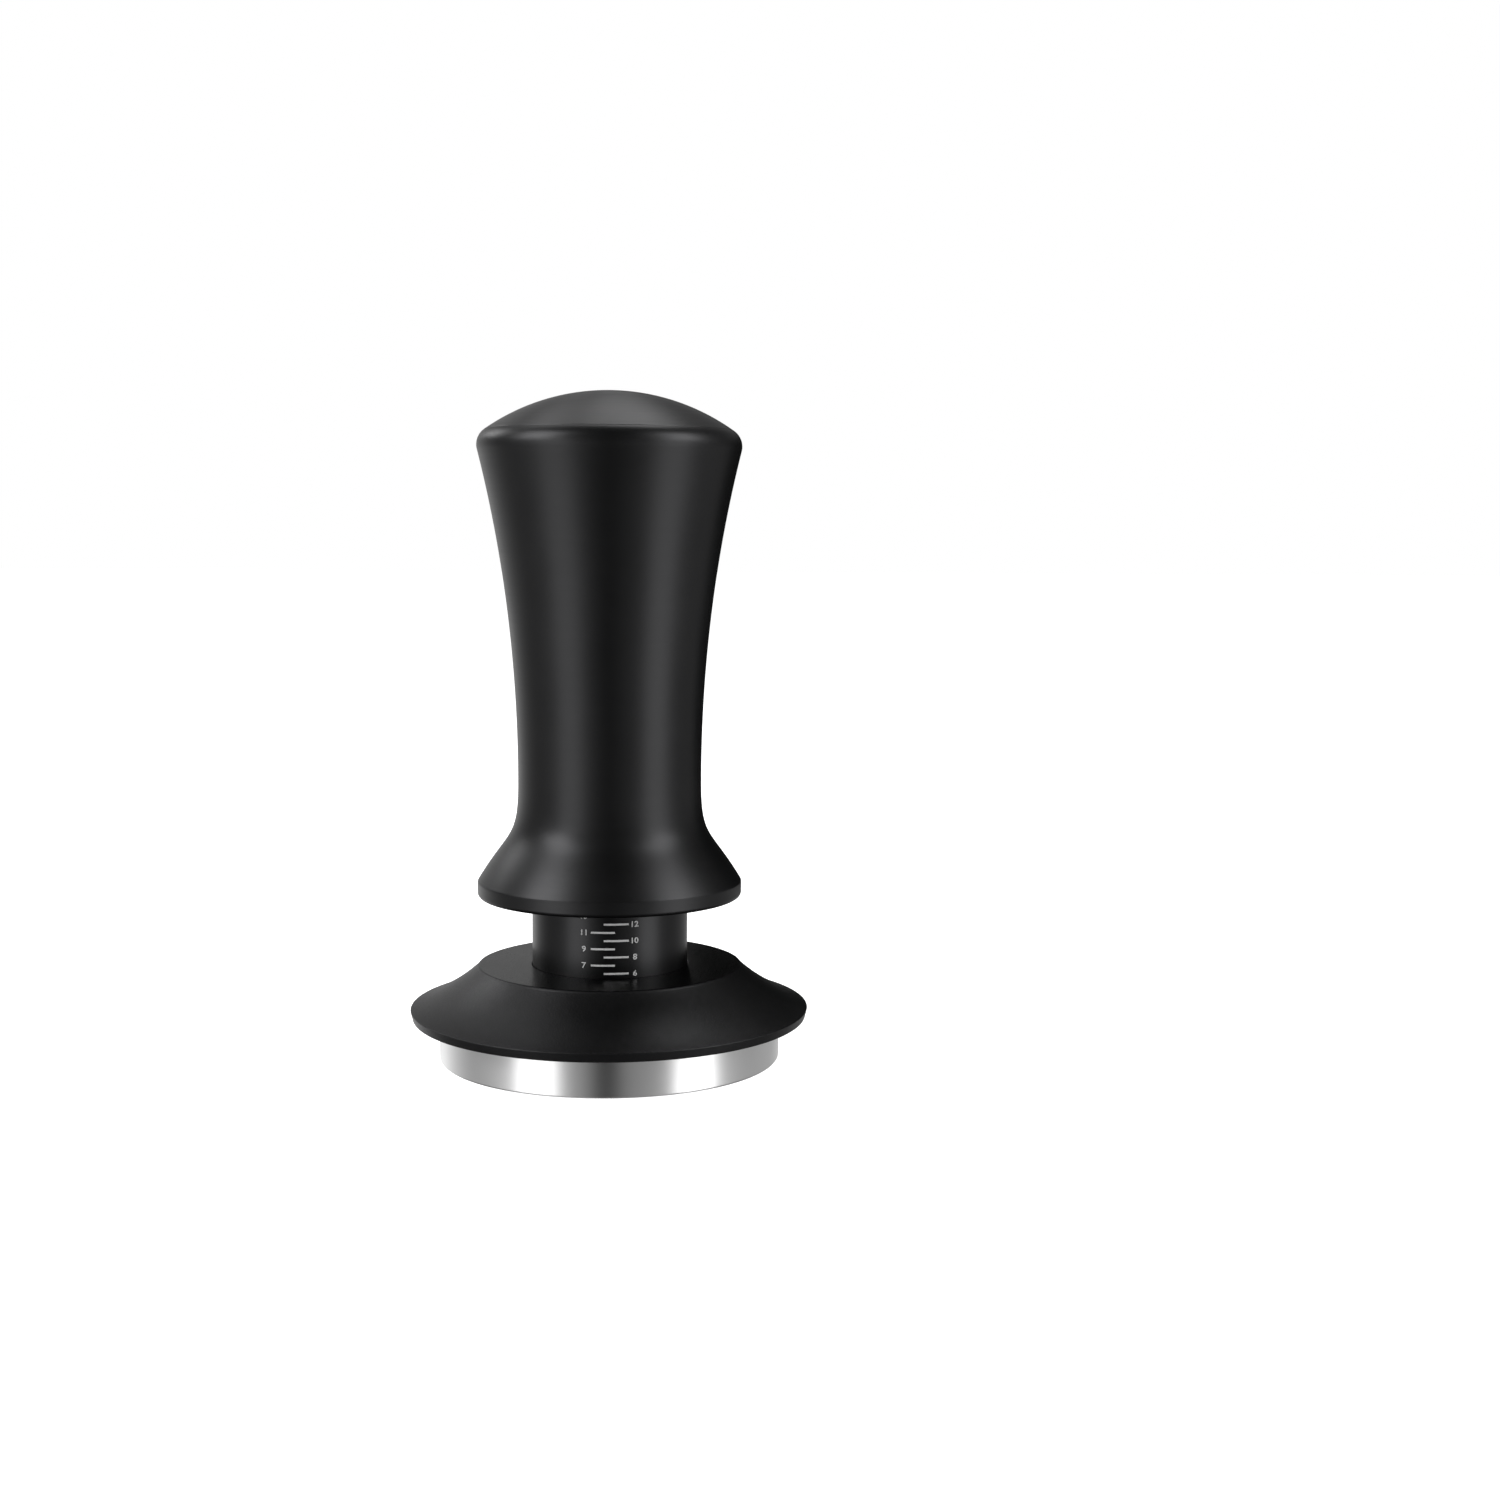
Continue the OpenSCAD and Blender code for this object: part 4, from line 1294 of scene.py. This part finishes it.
# %% World
def studio_world():
    """World shader: brightness by compass direction times brightness by height."""
    world = bpy.data.worlds.new("studio")
    bpy.context.scene.world = world
    world.use_nodes = True
    tree = world.node_tree
    way = put(tree, "ShaderNodeTexCoord")
    parts = put(tree, "ShaderNodeSeparateXYZ")
    tree.links.new(way.outputs["Generated"], parts.inputs[0])
    toward = maths(tree, "MULTIPLY", parts.outputs[1], -1.0)
    compass = maths(tree, "ARCTAN2", parts.outputs[0], toward)
    degrees = maths(tree, "MULTIPLY", compass, 180 / math.pi)
    around = grey_ramp(tree, degrees, COMPASS, -180, 180)
    upward = grey_ramp(tree, parts.outputs[2], HEIGHTS, -1, 1)
    glow = put(tree, "ShaderNodeBackground")
    tree.links.new(around, glow.inputs["Color"])
    tree.links.new(maths(tree, "MULTIPLY", upward, WORLD_GAIN ** 2), glow.inputs["Strength"])
    plain = put(tree, "ShaderNodeBackground", {"Color": (1, 1, 1, 1), "Strength": 1.0})
    rays = put(tree, "ShaderNodeLightPath")
    choose = put(tree, "ShaderNodeMixShader")
    tree.links.new(rays.outputs["Is Camera Ray"], choose.inputs["Fac"])
    tree.links.new(glow.outputs[0], choose.inputs[1])
    tree.links.new(plain.outputs[0], choose.inputs[2])
    tree.links.new(choose.outputs[0], tree.nodes["World Output"].inputs["Surface"])
    return world


print("world:", studio_world().name)

# %% [markdown]
# A soft box is an area light. Each is placed by its compass angle from the camera's side, its
# climb above the horizon and its distance, and turned to face the tamper. The two tall ones at
# the sides draw the long highlights. The others light the dome and the edges from above and
# from behind.

# %% Soft boxes
AIM_HEIGHT = 0.05


def soft_box(name, compass, climb, distance, width, height, glow):
    """An area light at a compass angle from the camera's side, aimed at the tamper."""
    light = bpy.data.lights.new(name, "AREA")
    light.shape = "RECTANGLE"
    light.size, light.size_y = width, height
    light.energy = glow * math.pi * width * height
    holder = bpy.data.objects.new(name, light)
    bpy.context.collection.objects.link(holder)
    around, up = math.radians(compass), math.radians(climb)
    way = Vector((math.sin(around) * math.cos(up), -math.cos(around) * math.cos(up),
                  math.sin(up)))
    holder.location = Vector((0, 0, AIM_HEIGHT)) + way * distance
    holder.rotation_mode = "QUATERNION"
    holder.rotation_quaternion = way.to_track_quat("Z", "Y")
    holder.visible_camera = False
    return holder


SOFT_BOXES = (
    ("left_box", -49, -5, 0.8, 0.42, 0.82, 1.65),
    ("right_box", 58, -5, 0.8, 0.42, 0.82, 1.85),
    ("upper_left_box", -68, 35, 0.5, 0.26, 0.3, 5.8),
    ("upper_right_box", 68, 34, 0.5, 0.24, 0.28, 4.9),
    ("back_left_box", -130, 28, 0.8, 0.3, 0.25, 3.6),
    ("top_left_box", -138, 60, 0.8, 0.4, 0.25, 1.8),
    ("top_right_box", 138, 66, 0.8, 0.3, 0.2, 0.5),
    ("top_back_box", 164, 67, 0.8, 0.36, 0.28, 4.6))
for settings in SOFT_BOXES:
    soft_box(*settings)
print("soft boxes:", len(SOFT_BOXES))

# %% [markdown]
# A flag is a black card that keeps light away. This one lies behind the tamper on the right and
# darkens that flank, as a dark object beside it would.

# %% Flag
FLAG_SIZE, FLAG_PLACE = (0.18, 0.13), (0.102, 0.12, 0.066)
flag_bm = bmesh.new()
bmesh.ops.create_grid(flag_bm, x_segments=1, y_segments=1, size=0.5)
bmesh.ops.scale(flag_bm, verts=flag_bm.verts, vec=(*FLAG_SIZE, 1))
bmesh.ops.rotate(flag_bm, verts=flag_bm.verts, matrix=STAND_UP)
bmesh.ops.translate(flag_bm, verts=flag_bm.verts, vec=FLAG_PLACE)
flag_mesh = bpy.data.meshes.new("flag")
flag_bm.to_mesh(flag_mesh)
flag_bm.free()
flag = bpy.data.objects.new("flag", flag_mesh)
bpy.context.collection.objects.link(flag)
flag.data.materials.append(surface(
    "flag_velvet", (fine_grain, {"Per_mm": 1.0, "Low": 0.3, "High": 0.7}), "Value",
    (0.006, 0.006, 0.006), (0.01, 0.01, 0.01), (0.02, 0.02, 0.02),
    roughness=0.9, spread=0.1, depth=0.01, Specular_IOR_Level=0.0))
flag.visible_camera = False
flag.visible_shadow = False
flag.visible_diffuse = False
flag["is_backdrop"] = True
print("flag:", flag.name)

# %% [markdown]
# The camera has a 50 mm lens at about a third of a metre, at the height of the handle's palm,
# and looks slightly down. It points a little to the right of the tamper and is rolled by less
# than half a degree, so that the tamper stands upright left of the middle of the frame.

# %% Camera
CAMERA_BACK, CAMERA_H = 323.5, 84.1
PITCH, YAW, ROLL = 6.31, 3.87, 0.41
camera_data = bpy.data.cameras.new("camera")
camera_data.lens, camera_data.sensor_width = 50, 36
camera_data.clip_start, camera_data.clip_end = 0.01, 20
camera = bpy.data.objects.new("camera", camera_data)
bpy.context.collection.objects.link(camera)
camera.location = Vector((0, -CAMERA_BACK, CAMERA_H + face_z)) * MM
aim = (Matrix.Rotation(math.radians(-YAW), 4, "Z")
       @ Matrix.Rotation(math.radians(90 - PITCH), 4, "X")
       @ Matrix.Rotation(math.radians(ROLL), 4, "Z"))
camera.rotation_euler = aim.to_euler()
bpy.context.scene.camera = camera
bpy.context.scene.view_settings.view_transform = "Standard"
print("camera at", [round(value, 4) for value in camera.location])

# %% Measure the visual box
low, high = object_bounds()
print("visual box, mm:", [round((b - a) / MM, 2) for a, b in zip(low, high)])
